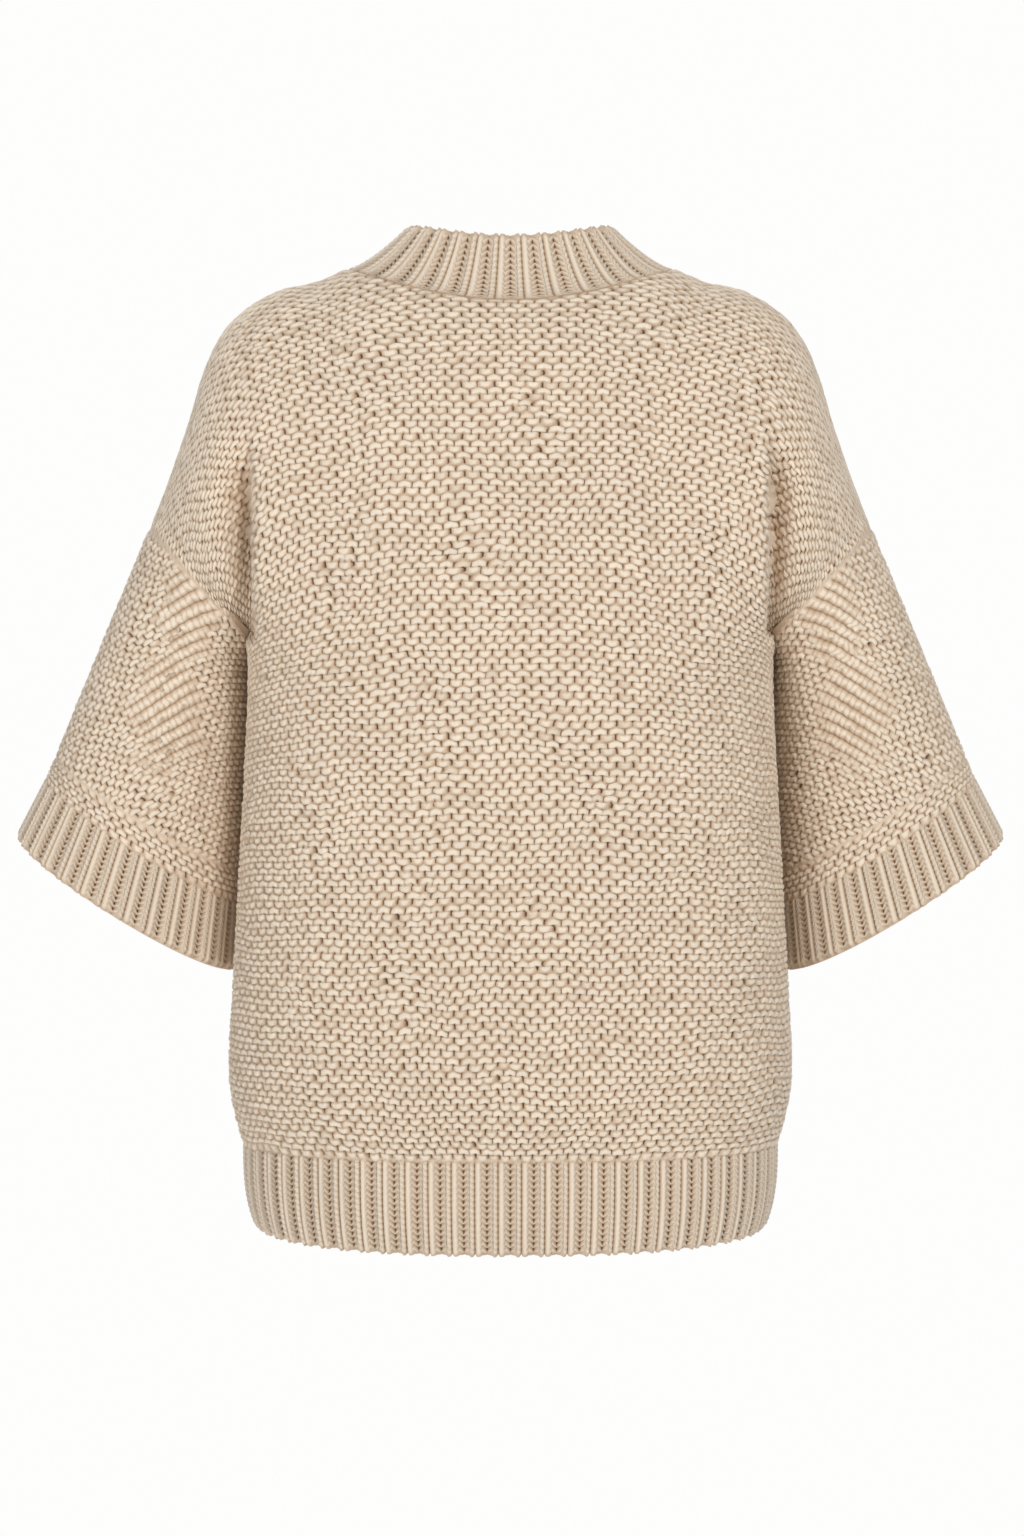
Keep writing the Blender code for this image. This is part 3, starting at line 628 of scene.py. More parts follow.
def chartPlaces(chart, along, up):
    # finds where on the chart each stitch point lies: Newton steps from a fitted plane
    down, round_ = np.meshgrid(np.linspace(0.0, 1.0, chart.shape[0]), np.linspace(0.0, 1.0, chart.shape[1]),
                               indexing="ij")
    known = np.stack((np.ones(chart[..., 0].size), chart[..., 0].ravel(), chart[..., 1].ravel()), axis=1)
    fit = np.linalg.lstsq(known, np.stack((down.ravel(), round_.ravel()), axis=1), rcond=None)[0]
    d, q = (fit[0, k] + fit[1, k] * along + fit[2, k] * up for k in (0, 1))
    step, margin = 0.01, 0.12
    for _ in range(12):
        d, q = np.clip(d, -margin, 1.0 + margin), np.clip(q, -margin, 1.0 + margin)
        nearD, nearQ = np.clip(d, step, 1.0 - step), np.clip(q, step, 1.0 - step)
        slopeD = (readGrid(chart, nearD + step, nearQ) - readGrid(chart, nearD - step, nearQ)) / (2 * step)
        slopeQ = (readGrid(chart, nearD, nearQ + step) - readGrid(chart, nearD, nearQ - step)) / (2 * step)
        here = readGrid(chart, nearD, nearQ) + slopeD * (d - nearD)[..., None] + slopeQ * (q - nearQ)[..., None]
        missU, missV = along - here[..., 0], up - here[..., 1]
        area = slopeD[..., 0] * slopeQ[..., 1] - slopeD[..., 1] * slopeQ[..., 0]
        d = d + np.clip((missU * slopeQ[..., 1] - missV * slopeQ[..., 0]) / area, -0.2, 0.2)
        q = q + np.clip((missV * slopeD[..., 0] - missU * slopeD[..., 1]) / area, -0.2, 0.2)
    isFound = np.hypot(missU, missV) < 2e-4  # points far off the chart aren't, and count as outside
    return np.where(isFound, d, -9.0), np.where(isFound, q, -9.0)


def slantedField(grid, seed):
    # a flat field of stitches laid along the chart's directions and cut to half a sleeve's outline:
    # x runs from the outer to the inner edge, y from the armhole's seam down to the level courses
    wide, high = sleeve["stitchWide"], sleeve["courseHigh"]
    span = sleeve["halfRound"]
    drop = sleeve["length"] - (sleeve["bandCourses"] - knit["firstLevel"]) * high - 0.0006
    chart = rowChart(grid)
    start, end = chart.min(axis=(0, 1)), chart.max(axis=(0, 1))
    field = stitchField(int((end[0] - start[0]) / wide) + 4, int((end[1] - start[1]) / high) + 4, seed,
                        sleeve["looser"])
    along = start[0] + wide * (field["plainU"] + field["shiftU"] - 2)
    up = start[1] + high * (field["plainV"] + field["shiftV"] - 2)
    d, q = chartPlaces(chart, along, up)
    x, y = span * (1.0 - q), sleeve["length"] * d
    quads = gridFaces(*x.shape)
    for values, edges in ((x, (0.0, span)), (y, (0.0, drop))):
        for edge in edges:                   # points right beside a cut are moved onto it
            values[np.abs(values - edge) < 1.2e-4] = edge
    inside = ((x > 0) & (x < span) & (y > 0) & (y < drop)).ravel()
    quads = quads[inside[quads].any(axis=1)]
    used, quads = np.unique(quads, return_inverse=True)
    quads = quads.reshape(-1, 4)
    form = bmesh.new()
    layers = [form.verts.layers.float.new(key) for key in ("height", "tone", "u", "v")]
    edge = 0.03 * np.sin(y / 0.011) + 0.025 * np.sin(y / 0.0047)   # the cords end unevenly
    tight = (softStep((x / span + edge - sleeve["cordFrom"]) / 0.16) * softStep((sleeve["cordTo"] + edge - x / span) / 0.16)
             * softStep((0.92 - y / drop) / 0.3))
    values = [(field["height"] + (field["cord"] - field["height"]) * tight).ravel()[used],
              field["tone"].ravel()[used],
              (field["plainU"] + field["shiftU"]).ravel()[used], field["plainV"].ravel()[used]]
    spots = np.stack((x.ravel()[used], y.ravel()[used], 0.0 * used), axis=1)
    corners = [form.verts.new(spot) for spot in spots.tolist()]
    for layer, value in zip(layers, values):
        for vertex, number in zip(corners, value.tolist()):
            vertex[layer] = number
    for a, b, c, d in quads.tolist():
        form.faces.new((corners[a], corners[b], corners[c], corners[d]))
    for spot, way in (((0, 0, 0), (-1, 0, 0)), ((span, 0, 0), (1, 0, 0)),
                      ((0, 0, 0), (0, -1, 0)), ((0, drop, 0), (0, 1, 0))):
        everything = form.verts[:] + form.edges[:] + form.faces[:]
        bmesh.ops.bisect_plane(form, geom=everything, dist=1e-5, plane_co=spot, plane_no=way, clear_outer=True)
    bmesh.ops.triangulate(form, faces=[face for face in form.faces if len(face.verts) > 4])
    form.verts.index_update()
    spots = np.array([vertex.co for vertex in form.verts])
    for axis, edges in ((0, (0.0, span)), (1, (0.0, drop))):
        for edge in edges:
            spots[np.abs(spots[:, axis] - edge) < 1.2e-5, axis] = edge
    values = [np.array([vertex[layer] for vertex in form.verts]) for layer in layers]
    faces = {3: [], 4: []}
    for face in form.faces:
        faces[len(face.verts)].append([vertex.index for vertex in face.verts])
    form.free()
    return spots, values, [np.array(faces[n]).reshape(-1, n) for n in (4, 3)], span, drop


def openEnds(faceSets):
    # the points on edges that only one face uses
    pairs = np.concatenate([np.stack((faces, np.roll(faces, -1, axis=1)), axis=-1).reshape(-1, 2)
                            for faces in faceSets])
    kinds, counts = np.unique(np.sort(pairs, axis=1), axis=0, return_counts=True)
    return np.unique(kinds[counts == 1])


def sleevePiece(name, side, seed, materials):
    grid, middle = sleeveGrid()
    spots, (height, tone, u, v), faceSets, span, drop = slantedField(grid, seed)
    length, high = sleeve["length"], sleeve["courseHigh"]
    free = softStep(spots[:, 1] / 0.003) * softStep((drop - spots[:, 1]) / 0.0015)
    halfAngle = 0.5 - 0.5 * spots[:, 0] / span             # share of the full round, back half
    parts = {"share": [], "down": [], "height": [], "shade": [], "tone": [], "u": [], "v": [], "plain": []}
    for isFront in (False, True):
        parts["share"].append(1.0 - halfAngle if isFront else halfAngle)
        parts["down"].append(spots[:, 1] / length)
        parts["height"].append(knit["seam"] + (height - knit["seam"]) * free)
        # painted shade and highlight follow the height, less of the shade at the seams
        parts["shade"].append(parts["height"][-1] + knit["seamLight"] * (1.0 - free))
        parts["tone"].append(tone * free)
        parts["u"].append(u)
        parts["v"].append(v)
        parts["plain"].append(1.0 - free)
    count = len(spots)
    onSide = (spots[:, 0] == 0.0) | (spots[:, 0] == span)  # the two halves share these points
    numbers = np.concatenate((np.arange(count), np.where(onSide, 0, count) + np.arange(count)))
    quads, threes = (numbers[np.concatenate((faces, faces + count))] for faces in faceSets)
    # the level courses above the cuff
    around = int(round(2 * span / sleeve["stitchWide"]))
    field = stitchField(around, sleeve["bandCourses"], seed + 1)
    field = {key: values[3:] for key, values in field.items()}
    bandV = field["plainV"] - knit["firstLevel"]
    bandTop = sleeve["bandCourses"] - knit["firstLevel"]
    inBand = softStep((bandTop - bandV) / 0.3)
    bandFree = inBand * softStep(bandV / 0.16)
    hang = field["wave"] - np.abs(field["wave"]).max(axis=1, keepdims=True)
    bandU = (field["plainU"] + field["shiftU"] * bandFree)[:, :-1]
    bandV = (bandV + field["shiftV"] * bandFree + knit["hang"] * hang * (inBand - bandFree))[:, :-1]
    bandHeight = (knit["seam"] + (field["height"] - knit["seam"]) * bandFree)[:, :-1]
    parts["share"].append((bandU / around).ravel())
    parts["down"].append((1.0 - bandV * high / length).ravel())
    parts["height"].append(bandHeight.ravel())
    # painted shade and highlight follow the height, less of the shade at the seams
    parts["shade"].append((bandHeight + knit["seamLight"] * (1.0 - bandFree[:, :-1])).ravel())
    parts["tone"].append((field["tone"] * bandFree)[:, :-1].ravel())
    parts["u"].append((field["plainU"] + field["shiftU"])[:, :-1].ravel())
    parts["v"].append(field["plainV"][:, :-1].ravel())
    parts["plain"].append((1.0 - bandFree[:, :-1]).ravel())
    bandNumbers = 2 * count + np.arange(bandU.size).reshape(bandU.shape)
    quads = np.concatenate((quads, gridFaces(*bandU.shape, True) + 2 * count))
    share, down, height, shade, tone, u, v, plain = (np.concatenate(parts[key]) for key in parts)
    place = readPast(grid, down, share % 1.0, True)
    normal = ringNormals(grid, down, share % 1.0, middle)
    points = place + normal * (knit["relief"] * high * (height - knit["sink"]))[:, None]
    # runs: the seam's edge, the slanted courses' lower edge, the band's two edges
    ends = openEnds((quads, threes))
    seam = orderedRing(ends[np.abs(down[ends]) < 1e-6], share)
    lower = orderedRing(ends[np.abs(down[ends] - drop / length) < 1e-6], share)
    bandEnd, bandTop = (orderedRing(bandNumbers[k], share) for k in (0, -1))
    joint = zipRuns(lower[0], lower[1], bandTop[0], bandTop[1])
    fields = {"stitch": np.stack((u, v, plain), axis=1), "relief": shade, "tone": tone}
    outer = {"points": points, "faces": [quads, threes, joint], "fields": fields, "runs": [seam, bandEnd]}
    round_ = np.arange(48) / 48.0
    rows = np.linspace(0.0, 1.0, 23)[:, None] + 0.0 * round_
    round_ = round_ + 0.0 * rows
    place = readGrid(grid, rows, round_, True)
    place = place - wallThick * ringNormals(grid, rows, round_, middle)
    numbers = np.arange(place.size // 3).reshape(place.shape[:2])
    inner = {"points": place.reshape(-1, 3), "faces": [gridFaces(*place.shape[:2], True)],
             "fields": {"stitch": np.stack((round_ * 48, rows * 22, 1.0 + 0 * rows), axis=-1).reshape(-1, 3),
                        "relief": np.full(numbers.size, 0.7), "tone": np.zeros(numbers.size)},
             "runs": [(closed(numbers[0]), np.linspace(0.0, 1.0, 49)), (closed(numbers[-1]), np.linspace(0.0, 1.0, 49))]}
    for part in (outer, inner):
        part["points"] = part["points"] * np.array((side, 1.0, 1.0))
    return closeWall(name, outer, inner, materials)


def closed(run):
    return np.concatenate((run, run[:1]))


def orderedRing(numbers, share):
    # a ring of points in order round the arm, from share 0 back to it
    order = np.argsort(share[numbers] % 1.0)
    numbers, around = numbers[order], (share[numbers] % 1.0)[order]
    return closed(numbers), np.concatenate((around, around[:1] + 1.0))


def ringNormals(grid, row, column, middle):
    step = 2e-3
    along = (readGrid(grid, np.minimum(row + step, 1.0), column, True)
             - readGrid(grid, np.maximum(row - step, 0.0), column, True))
    across = readGrid(grid, row, (column + step) % 1.0, True) - readGrid(grid, row, (column - step) % 1.0, True)
    normals = unit(np.cross(across, along))
    rows = np.linspace(0.0, 1.0, len(middle))
    axis = np.stack([np.interp(row, rows, middle[:, k]) for k in range(3)], axis=-1)
    facing = readGrid(grid, row, column, True) - axis
    return normals * np.sign(np.sum(normals * facing, axis=-1, keepdims=True).mean())


# ribbed collar, cuffs and hem band

rib = {
    "rise": 0.0032,                          # cords above the troughs
    "sink": 0.55,
    "wall": 0.0040,
    "rowHigh": 0.0036,                       # one row of the fine loops in a trough
    "scallop": 0.0005,                       # the cords reach this far past the troughs at the open edge
    "spots": (0.0, .075, .15, .22, .29, .37, .46, .53, .585, .64, .71, .77, .84, .92),
    "heights": (.48, .54, .56, .58, .84, 1.0, .84, .14, .80, 1.0, 1.0, .80, .58, .54),
}


def ribField(ribCount, rowCount, isRound, seed):
    # across each rib: a trough of stacked u shaped loops, a smooth cord, a groove with holes and a cord twisted like
    # rope;
    # three points up each row of loops; painted shade darkens the holes, the groove and the loops' and plies' sides
    rng = np.random.default_rng(seed)
    spots, heights = np.array(rib["spots"]), np.array(rib["heights"])
    column = np.arange(ribCount * 14 + (0 if isRound else 1))
    row = np.arange(rowCount * 3 + 1)
    step = column % 14
    spot = spots[step] + 0.0 * row[:, None]
    phase = row[:, None] / 3.0 + 0.0 * spot
    toMiddle = np.minimum(spot, 1.0 - spot)
    trough = (toMiddle < 0.23).astype(float)
    loops = np.cos(2 * math.pi * (phase - 1 / 3))
    hole = np.clip(1.0 - toMiddle / 0.10, 0.0, 1.0) * (loops < 0)
    twisted = (spot > 0.57) & (spot < 0.78)
    plies = np.cos(2 * math.pi * (phase + 3.0 * spot))
    groove = np.abs(spot - 0.53) < 0.02
    height = heights[step] + 0.0 * phase + trough * 0.26 * loops - 0.22 * hole
    height = height + np.where(twisted, 0.17 * plies - 0.02, 0.0) + np.where(groove, 0.12 * loops, 0.0)
    # painted shade: darker between the loops, in the holes and the groove, and along the plies
    shade = np.where(trough > 0, 0.72 + 0.22 * loops - 0.62 * hole, height)
    shade = np.where(groove, 0.24 + 0.18 * loops, np.where(twisted, 0.88 + 0.18 * plies, shade))
    wobble = rng.normal(0.0, 1.0, ribCount + 2)[column // 14]
    wander = rng.normal(0.0, 0.012, (rowCount + 2, ribCount + 2))
    wander = np.take_along_axis(np.repeat(wander, 3, axis=0)[:len(row)], column[None, :] // 14 + 0 * row[:, None], 1)
    return {"u": column // 14 + spots[step] + 0.0 * phase, "v": phase + 0.0 * spot,
            "shiftU": wander, "shiftV": -trough * toMiddle * 3.2, "height": height,
            "shade": shade,
            "tone": 0.4 * wobble + 0.0 * phase,
            "cords": np.clip((heights[step] - 0.3) / 0.6, 0.0, 1.0) + 0.0 * phase}


def ribPiece(name, grid, ribCount, length, isRound, middle, seed, materials, side=1.0, seamFade=0.6):
    # grid rows run from the seam to the open edge
    rowCount = int(round(length / rib["rowHigh"]))
    field = ribField(ribCount, rowCount, isRound, seed)
    share = field["u"] / ribCount
    free = softStep(field["v"] / seamFade) * softStep((rowCount - field["v"]) / 0.8)
    down = (field["v"] + field["shiftV"] * free) / rowCount
    last = softStep((field["v"] - rowCount + 1.5) / 1.5)
    place = readGrid(grid, down, share, isRound)
    normal = ringNormals(grid, down, share, middle) if isRound else gridNormals(grid, down, share, middle)
    step = unit(readGrid(grid, np.minimum(down + 0.01, 1.0), share, isRound)
                - readGrid(grid, np.minimum(down, 0.99) - 0.01, share, isRound))
    height = 0.62 + (field["height"] - 0.62) * softStep((field["v"] + 0.15) / 0.6)
    rise = rib["rise"] * (height - rib["sink"]) - 0.0016 * last**3
    points = place + normal * rise[..., None] + step * (rib["scallop"] * (field["cords"] - 0.5) * last)[..., None]
    shape = points.shape[:2]
    if not isRound:
        points[:, 0, 0], points[:, -1, 0] = frontGap / 2, -frontGap / 2
    numbers = np.arange(points.size // 3).reshape(shape)
    tile = np.stack((field["u"], field["v"], 1.0 - free), axis=-1)
    outer = {"points": points.reshape(-1, 3), "faces": [gridFaces(*shape, isRound)],
             "fields": {"stitch": tile.reshape(-1, 3), "relief": (0.62 + (field["shade"] - 0.62) * free).ravel(),
                        "tone": field["tone"].ravel()}}
    coarse = ribCount * 3
    across = np.arange(coarse + (0 if isRound else 1)) / coarse
    rows = np.linspace(0.0, 1.0, 7)[:, None] + 0.0 * across
    across = across + 0.0 * rows
    place = readGrid(grid, rows, across, isRound)
    normal = ringNormals(grid, rows, across, middle) if isRound else gridNormals(grid, rows, across, middle)
    place = place - normal * (rib["wall"] + rib["rise"] * 0.38)
    if not isRound:
        place[:, 0, 0], place[:, -1, 0] = frontGap / 2, -frontGap / 2
    few = np.arange(place.size // 3).reshape(place.shape[:2])
    inner = {"points": place.reshape(-1, 3), "faces": [gridFaces(*place.shape[:2], isRound)],
             "fields": {"stitch": np.stack((across * ribCount, rows * rowCount, 1 + 0 * rows), axis=-1).reshape(-1, 3),
                        "relief": np.full(few.size, 0.7), "tone": np.zeros(few.size)}}
    if isRound:
        ends = [(closed(numbers[k]), closed(share[k]) + np.concatenate((0 * share[k], [1.0]))) for k in (0, -1)]
        outer["runs"] = ends
        whole = np.arange(coarse + 1) / coarse
        inner["runs"] = [(closed(few[k]), whole) for k in (0, -1)]
    else:
        outer["runs"] = edgeRuns(numbers, share, field["v"] / rowCount)
        inner["runs"] = edgeRuns(few, across, rows)
    for part in (outer, inner):
        part["points"] = part["points"] * np.array((side, 1.0, 1.0))
    return closeWall(name, outer, inner, materials)


hem = {"depth": 0.0535, "tuck": 0.0080, "dropBack": 0.0075, "ribs": 64}
collar = {"halfWidth": 0.0660, "backward": -0.0540, "forward": 0.0600, "topBack": 0.0140, "topSide": 0.0275,
          "topFront": -0.0100, "flare": 1.4, "ribs": 30}
cuff = {"ribs": 32}


def roundTheBody(backHalf, frontHalf):
    # one run of points from the front edge, round the back, to the other front edge
    right = np.concatenate((frontHalf[:-1], backHalf[::-1]))
    left = right[::-1] * np.array((-1.0, 1.0, 1.0))
    return np.concatenate((right, left[1:]))


def hemGrid():
    # level section at the top of the band, drawn in towards its lower edge with share^3
    fraction = np.linspace(0.0, 1.0, 97)
    top = body["height"][0]
    halves = [halfSection(facing, top + 0.0 * fraction, fraction, sectionAngles(facing)) for facing in (back, front)]
    base = roundTheBody(*halves)
    tangent = unit(np.gradient(base, axis=0))
    away = unit(np.cross(tangent, np.array((0.0, 0.0, 1.0))))
    away *= np.sign(np.sum(away * base * np.array((1, 1, 0)), axis=1).mean())
    backShare = np.clip(-base[:, 1:2] / body["backDepth"][0], 0.0, 1.0)
    rows = []
    for share in np.linspace(0.0, 1.0, 9):
        low = seamGap / 2 + share * (hem["depth"] + hem["dropBack"] * backShare)
        rows.append(base - low * np.array((0.0, 0.0, 1.0)) - away * hem["tuck"] * share**3)
    return np.array(rows)


def collarGrid(forms):
    # from the neck seam up to the collar's round upper edge; height goes with share^flare
    fraction = np.linspace(0.0, 1.0, 61)
    seams, tops = [], []
    lineShare, lineAcross, _ = shoulderLine()
    neckShare = float(np.interp(shoulder["neckPoint"], lineAcross, lineShare))
    for facing in (back, front):
        columns = np.linspace(0.0, 1.0, 400) * neckShare
        form = forms[facing]
        whole = np.interp(columns, np.linspace(0.0, 1.0, len(form["whole"])), form["whole"])
        edge = readGrid(form["grid"], neckCut(form, columns) / whole, columns)
        distance = runLength(edge)
        seams.append(np.stack([np.interp(fraction * distance[-1], distance, edge[:, k]) for k in range(3)], axis=1))
        angle = fraction * math.pi / 2
        deep = collar["backward"] if facing == back else collar["forward"]
        low = collar["topBack"] if facing == back else collar["topFront"]
        height = low + (collar["topSide"] - low) * np.sin(angle) ** 2
        tops.append(np.stack((collar["halfWidth"] * np.sin(angle), deep * np.cos(angle), height), axis=1))
    seam, top = roundTheBody(*seams), roundTheBody(*tops)
    rows = []
    for share in np.linspace(0.0, 1.0, 13):
        line = seam + (top - seam) * share
        line[:, 2] = seam[:, 2] + (top[:, 2] - seam[:, 2]) * share ** collar["flare"]
        rows.append(line)
    return np.array(rows)


def cuffGrid():
    first, last = np.array(sleeve["rings"][-1]), np.array(sleeve["cuffEnd"])
    share = np.linspace(0.0, 1.0, 9)[:, None]
    grid, middle = ringGrid(first * (1 - share) + last * share, 128)
    return grid, middle


# materials

yarn = {
    # light paints a highlight on the beads' crests, shade and the darkest colour paint shade on the flanks and in the
    # gaps; middle is the yarn's own colour
    "light": (0.95, 0.825, 0.675, 1.0),
    "middle": (0.72, 0.56, 0.412, 1.0),
    "shade": (0.47, 0.325, 0.205, 1.0),
    "gap": (0.12, 0.062, 0.032, 1.0),
    "toneSpread": 0.022,
    "roughness": 0.85,
    "sheen": 0.20,
    "fibreDepth": 0.00018,
}


def newGroup(name, inputs, outputs):
    group = bpy.data.node_groups.new(name, "ShaderNodeTree")
    for socket, kind, value in inputs:
        made = group.interface.new_socket(socket, in_out="INPUT", socket_type=kind)
        made.default_value = value
    for socket, kind in outputs:
        group.interface.new_socket(socket, in_out="OUTPUT", socket_type=kind)
    return group, group.nodes.new("NodeGroupInput"), group.nodes.new("NodeGroupOutput")


def mathNode(tree, operation, first, second=None):
    node = tree.nodes.new("ShaderNodeMath")
    node.operation = operation
    for socket, value in zip(node.inputs, (first, second)):
        if isinstance(value, bpy.types.NodeSocket):
            tree.links.new(value, socket)
        elif value is not None:
            socket.default_value = value
    return node.outputs[0]


def yarnColourGroup():
    # painted shade and highlight by relief: dark in the gaps, tan on the flanks, cream with a highlight on the beads'
    # crests; each bead and patch differs in tone at random
    group, given, result = newGroup(
        "yarn colour",
        (("Relief", "NodeSocketFloat", 1.0), ("Tone", "NodeSocketFloat", 0.0),
         ("Light", "NodeSocketColor", yarn["light"]), ("Middle", "NodeSocketColor", yarn["middle"]),
         ("Shade", "NodeSocketColor", yarn["shade"]), ("GapShade", "NodeSocketColor", yarn["gap"]),
         ("Spread", "NodeSocketFloat", yarn["toneSpread"])),
        (("Colour", "NodeSocketColor"),))
    links = group.links
    # painted shade and highlight: the colour steps from the darkest in the gaps up to the light colour on the crests
    colour = given.outputs["GapShade"]
    for after, start, end in (("Shade", 0.06, 0.34), ("Middle", 0.30, 0.70), ("Light", 0.66, 1.0)):
        step = group.nodes.new("ShaderNodeMapRange")
        step.interpolation_type = "SMOOTHSTEP"
        step.inputs["From Min"].default_value, step.inputs["From Max"].default_value = start, end
        links.new(given.outputs["Relief"], step.inputs["Value"])
        mix = group.nodes.new("ShaderNodeMix")
        mix.data_type = "RGBA"
        links.new(step.outputs[0], mix.inputs[0])
        links.new(colour, mix.inputs[6])
        links.new(given.outputs[after], mix.inputs[7])
        colour = mix.outputs[2]
    place = group.nodes.new("ShaderNodeTexCoord")
    patch = group.nodes.new("ShaderNodeTexNoise")
    patch.inputs["Scale"].default_value, patch.inputs["Detail"].default_value = 14.0, 3.0
    links.new(place.outputs["Object"], patch.inputs["Vector"])
    fibre = group.nodes.new("ShaderNodeTexNoise")
    fibre.inputs["Scale"].default_value, fibre.inputs["Detail"].default_value = 900.0, 2.0
    links.new(place.outputs["Object"], fibre.inputs["Vector"])
    own = mathNode(group, "MULTIPLY", given.outputs["Tone"], given.outputs["Spread"])
    wide = mathNode(group, "MULTIPLY", mathNode(group, "SUBTRACT", patch.outputs["Fac"], 0.5), 0.12)
    fine = mathNode(group, "MULTIPLY", mathNode(group, "SUBTRACT", fibre.outputs["Fac"], 0.5), 0.22)
    total = mathNode(group, "ADD", mathNode(group, "ADD", own, wide), mathNode(group, "ADD", fine, 1.0))
    shade = group.nodes.new("ShaderNodeHueSaturation")
    links.new(total, shade.inputs["Value"])
    links.new(colour, shade.inputs["Color"])
    links.new(shade.outputs["Color"], result.inputs["Colour"])
    return group


def yarnFibreGroup():
    # fine relief: plies twisted across the yarn and stray fibres, in metres
    group, given, result = newGroup(
        "yarn fibres",
        (("Place", "NodeSocketVector", (0, 0, 0)), ("Plies", "NodeSocketFloat", 1.0)),
        (("Height", "NodeSocketFloat"),))
    links = group.links
    split = group.nodes.new("ShaderNodeSeparateXYZ")
    links.new(given.outputs["Place"], split.inputs[0])
    place = group.nodes.new("ShaderNodeTexCoord")
    wobble = group.nodes.new("ShaderNodeTexNoise")
    wobble.inputs["Scale"].default_value, wobble.inputs["Detail"].default_value = 260.0, 2.0
    links.new(place.outputs["Object"], wobble.inputs["Vector"])
    slant = mathNode(group, "ADD", mathNode(group, "MULTIPLY", split.outputs["X"], 5.0),
                     mathNode(group, "MULTIPLY", split.outputs["Y"], 4.0))
    slant = mathNode(group, "ADD", slant, mathNode(group, "MULTIPLY", wobble.outputs["Fac"], 1.6))
    ply = mathNode(group, "SINE", mathNode(group, "MULTIPLY", slant, 2 * math.pi))
    ply = mathNode(group, "MULTIPLY", mathNode(group, "MULTIPLY", ply, 0.35), given.outputs["Plies"])
    ply = mathNode(group, "MULTIPLY", ply, mathNode(group, "SUBTRACT", 1.0, split.outputs["Z"]))
    fibre = group.nodes.new("ShaderNodeTexNoise")
    fibre.inputs["Scale"].default_value, fibre.inputs["Detail"].default_value = 1400.0, 3.0
    links.new(place.outputs["Object"], fibre.inputs["Vector"])
    total = mathNode(group, "ADD", ply, fibre.outputs["Fac"])
    links.new(total, result.inputs["Height"])
    return group


def knitMaterial(name, colourGroup, fibreGroup, plies, isInside):
    material = bpy.data.materials.new(name)
    material.use_nodes = True
    tree = material.node_tree
    shader = tree.nodes["Principled BSDF"]
    shader.inputs["Roughness"].default_value = yarn["roughness"]
    shader.inputs["Sheen Weight"].default_value = yarn["sheen"]
    shader.inputs["Sheen Roughness"].default_value = 0.45
    shader.inputs["Specular IOR Level"].default_value = 0.25
    # the relief attribute picks the painted shade and highlight of the yarn colour
    relief = tree.nodes.new("ShaderNodeAttribute")
    relief.attribute_name = "relief"
    tone = tree.nodes.new("ShaderNodeAttribute")
    tone.attribute_name = "tone"
    stitch = tree.nodes.new("ShaderNodeAttribute")
    stitch.attribute_name = "stitch"
    colour = tree.nodes.new("ShaderNodeGroup")
    colour.node_tree = colourGroup
    tree.links.new(relief.outputs["Fac"], colour.inputs["Relief"])
    tree.links.new(tone.outputs["Fac"], colour.inputs["Tone"])
    tree.links.new(colour.outputs["Colour"], shader.inputs["Base Color"])
    fibres = tree.nodes.new("ShaderNodeGroup")
    fibres.node_tree = fibreGroup
    fibres.inputs["Plies"].default_value = plies
    tree.links.new(stitch.outputs["Vector"], fibres.inputs["Place"])
    bump = tree.nodes.new("ShaderNodeBump")
    bump.inputs["Strength"].default_value = 1.0
    bump.inputs["Distance"].default_value = yarn["fibreDepth"]
    tree.links.new(fibres.outputs["Height"], bump.inputs["Height"])
    tree.links.new(bump.outputs["Normal"], shader.inputs["Normal"])
    return material


colourGroup, fibreGroup = yarnColourGroup(), yarnFibreGroup()
panelYarn = knitMaterial("purl knit", colourGroup, fibreGroup, 0.6, False)
ribYarn = knitMaterial("rib knit", colourGroup, fibreGroup, 1.0, False)
insideYarn = knitMaterial("inside knit", colourGroup, fibreGroup, 0.6, True)
print("materials ready")

# camera and light first, then the pieces

view = {"spot": (0.001, -1.97, -0.3287), "lens": 70.0, "sensor": 36.0}


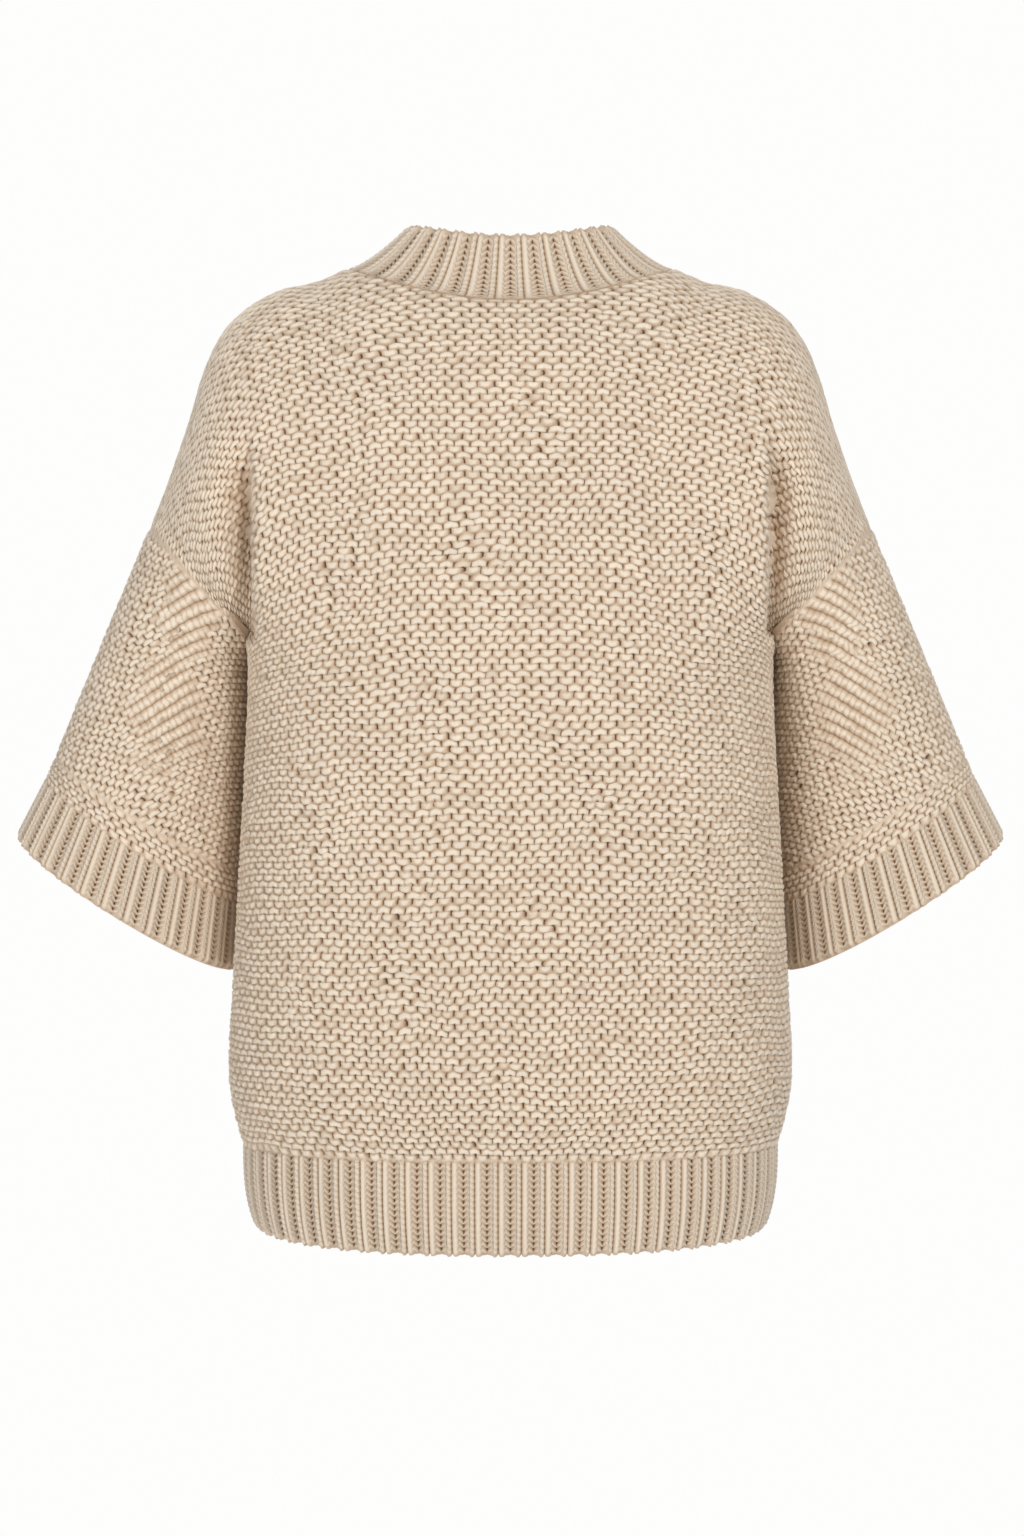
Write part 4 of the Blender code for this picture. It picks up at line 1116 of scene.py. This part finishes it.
def makeStage():
    camera = bpy.data.cameras.new("camera")
    camera.lens, camera.sensor_width = view["lens"], view["sensor"]
    eye = bpy.data.objects.new("camera", camera)
    eye.location = view["spot"]
    eye.rotation_euler = (math.radians(90.0), 0.0, 0.0)
    bpy.context.scene.collection.objects.link(eye)
    bpy.context.scene.camera = eye
    for name, spot, size, power in (("key light", (1.25, -2.95, 1.60), 0.9, 57.0),
                                    ("fill light", (-1.7, -2.6, -1.7), 2.0, 60.0),
                                    ("far light", (-0.9, 2.9, 1.5), 1.8, 90.0)):
        lamp = bpy.data.lights.new(name, "AREA")
        lamp.shape, lamp.size, lamp.energy = "DISK", size, power
        light = bpy.data.objects.new(name, lamp)
        light.location = spot
        aim = Vector((0.0, 0.0, -0.3)) - Vector(spot)
        light.rotation_euler = aim.to_track_quat("-Z", "Y").to_euler()
        bpy.context.scene.collection.objects.link(light)
    world = bpy.data.worlds.new("studio")
    world.use_nodes = True
    nodes, links = world.node_tree.nodes, world.node_tree.links
    seen = nodes["Background"]
    seen.inputs["Color"].default_value = (0.985, 0.985, 0.98, 1.0)
    fill = nodes.new("ShaderNodeBackground")
    fill.inputs["Color"].default_value = (1.0, 0.99, 0.97, 1.0)
    fill.inputs["Strength"].default_value = 0.33
    path, mix = nodes.new("ShaderNodeLightPath"), nodes.new("ShaderNodeMixShader")
    links.new(path.outputs["Is Camera Ray"], mix.inputs[0])
    links.new(fill.outputs[0], mix.inputs[1])
    links.new(seen.outputs[0], mix.inputs[2])
    links.new(mix.outputs[0], nodes["World Output"].inputs["Surface"])
    bpy.context.scene.world = world
    bpy.context.scene.view_settings.view_transform = "Standard"
    floorMaterial = bpy.data.materials.new("pale floor")
    floorMaterial.use_nodes = True
    floorMaterial.node_tree.nodes["Principled BSDF"].inputs["Base Color"].default_value = (0.86, 0.86, 0.85, 1)
    floorMaterial.node_tree.nodes["Principled BSDF"].inputs["Roughness"].default_value = 0.9
    bpy.ops.mesh.primitive_plane_add(size=3.8, location=(0.0, 0.0, -1.35))
    floor = bpy.context.object
    floor.name = "floor"
    floor.data.materials.append(floorMaterial)


makeStage()

forms = {facing: panelGrid(facing) for facing in (back, front)}
mirror = np.array((-1.0, 1.0, 1.0))

pieces = {}
split = panel["splitCourse"]
pieces["back_lower"] = panelPiece("back_lower", forms[back], True, 0, split, 3, (panelYarn, insideYarn))
pieces["back_upper"] = panelPiece("back_upper", forms[back], True, split, knit["courses"], 3,
                                  (panelYarn, insideYarn))
right = panelPiece("front_right_knit", forms[front], False, 0, knit["courses"], 5, (panelYarn, insideYarn))
pieces["front_right_knit"] = right
leftData = right.data.copy()
left = bpy.data.objects.new("front_left_knit", leftData)
bpy.context.scene.collection.objects.link(left)
spots = np.empty(len(leftData.vertices) * 3, np.float32)
leftData.vertices.foreach_get("co", spots)
leftData.vertices.foreach_set("co", (spots.reshape(-1, 3) * mirror).ravel())
leftData.flip_normals()
pieces["front_left_knit"] = left
pieces["sleeve_right_knit"] = sleevePiece("sleeve_right_knit", 1.0, 21, (panelYarn, insideYarn))
pieces["sleeve_left_knit"] = sleevePiece("sleeve_left_knit", -1.0, 27, (panelYarn, insideYarn))
pieces["hem_rib"] = ribPiece("hem_rib", hemGrid(), hem["ribs"], 0.058, False, 0.0, 31, (ribYarn, insideYarn))
pieces["collar_rib"] = ribPiece("collar_rib", collarGrid(forms), collar["ribs"], 0.048, False,
                                np.array((0.0, 0.0, -0.12)), 33, (ribYarn, insideYarn))
cuffRings, cuffMiddle = cuffGrid()
pieces["cuff_right_rib"] = ribPiece("cuff_right_rib", cuffRings, cuff["ribs"], 0.046, True, cuffMiddle, 35,
                                    (ribYarn, insideYarn))
pieces["cuff_left_rib"] = ribPiece("cuff_left_rib", cuffRings, cuff["ribs"], 0.046, True, cuffMiddle, 37,
                                   (ribYarn, insideYarn), side=-1.0)

nodesOf = {"back_lower": "back", "back_upper": "back", "front_right_knit": "front_right",
           "front_left_knit": "front_left", "sleeve_right_knit": "sleeve_right",
           "sleeve_left_knit": "sleeve_left", "hem_rib": "hem_band", "collar_rib": "collar",
           "cuff_right_rib": "cuff_right", "cuff_left_rib": "cuff_left"}
for name, piece in pieces.items():
    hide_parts(nodesOf[name])
    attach(piece, "root")
print("pieces ready")
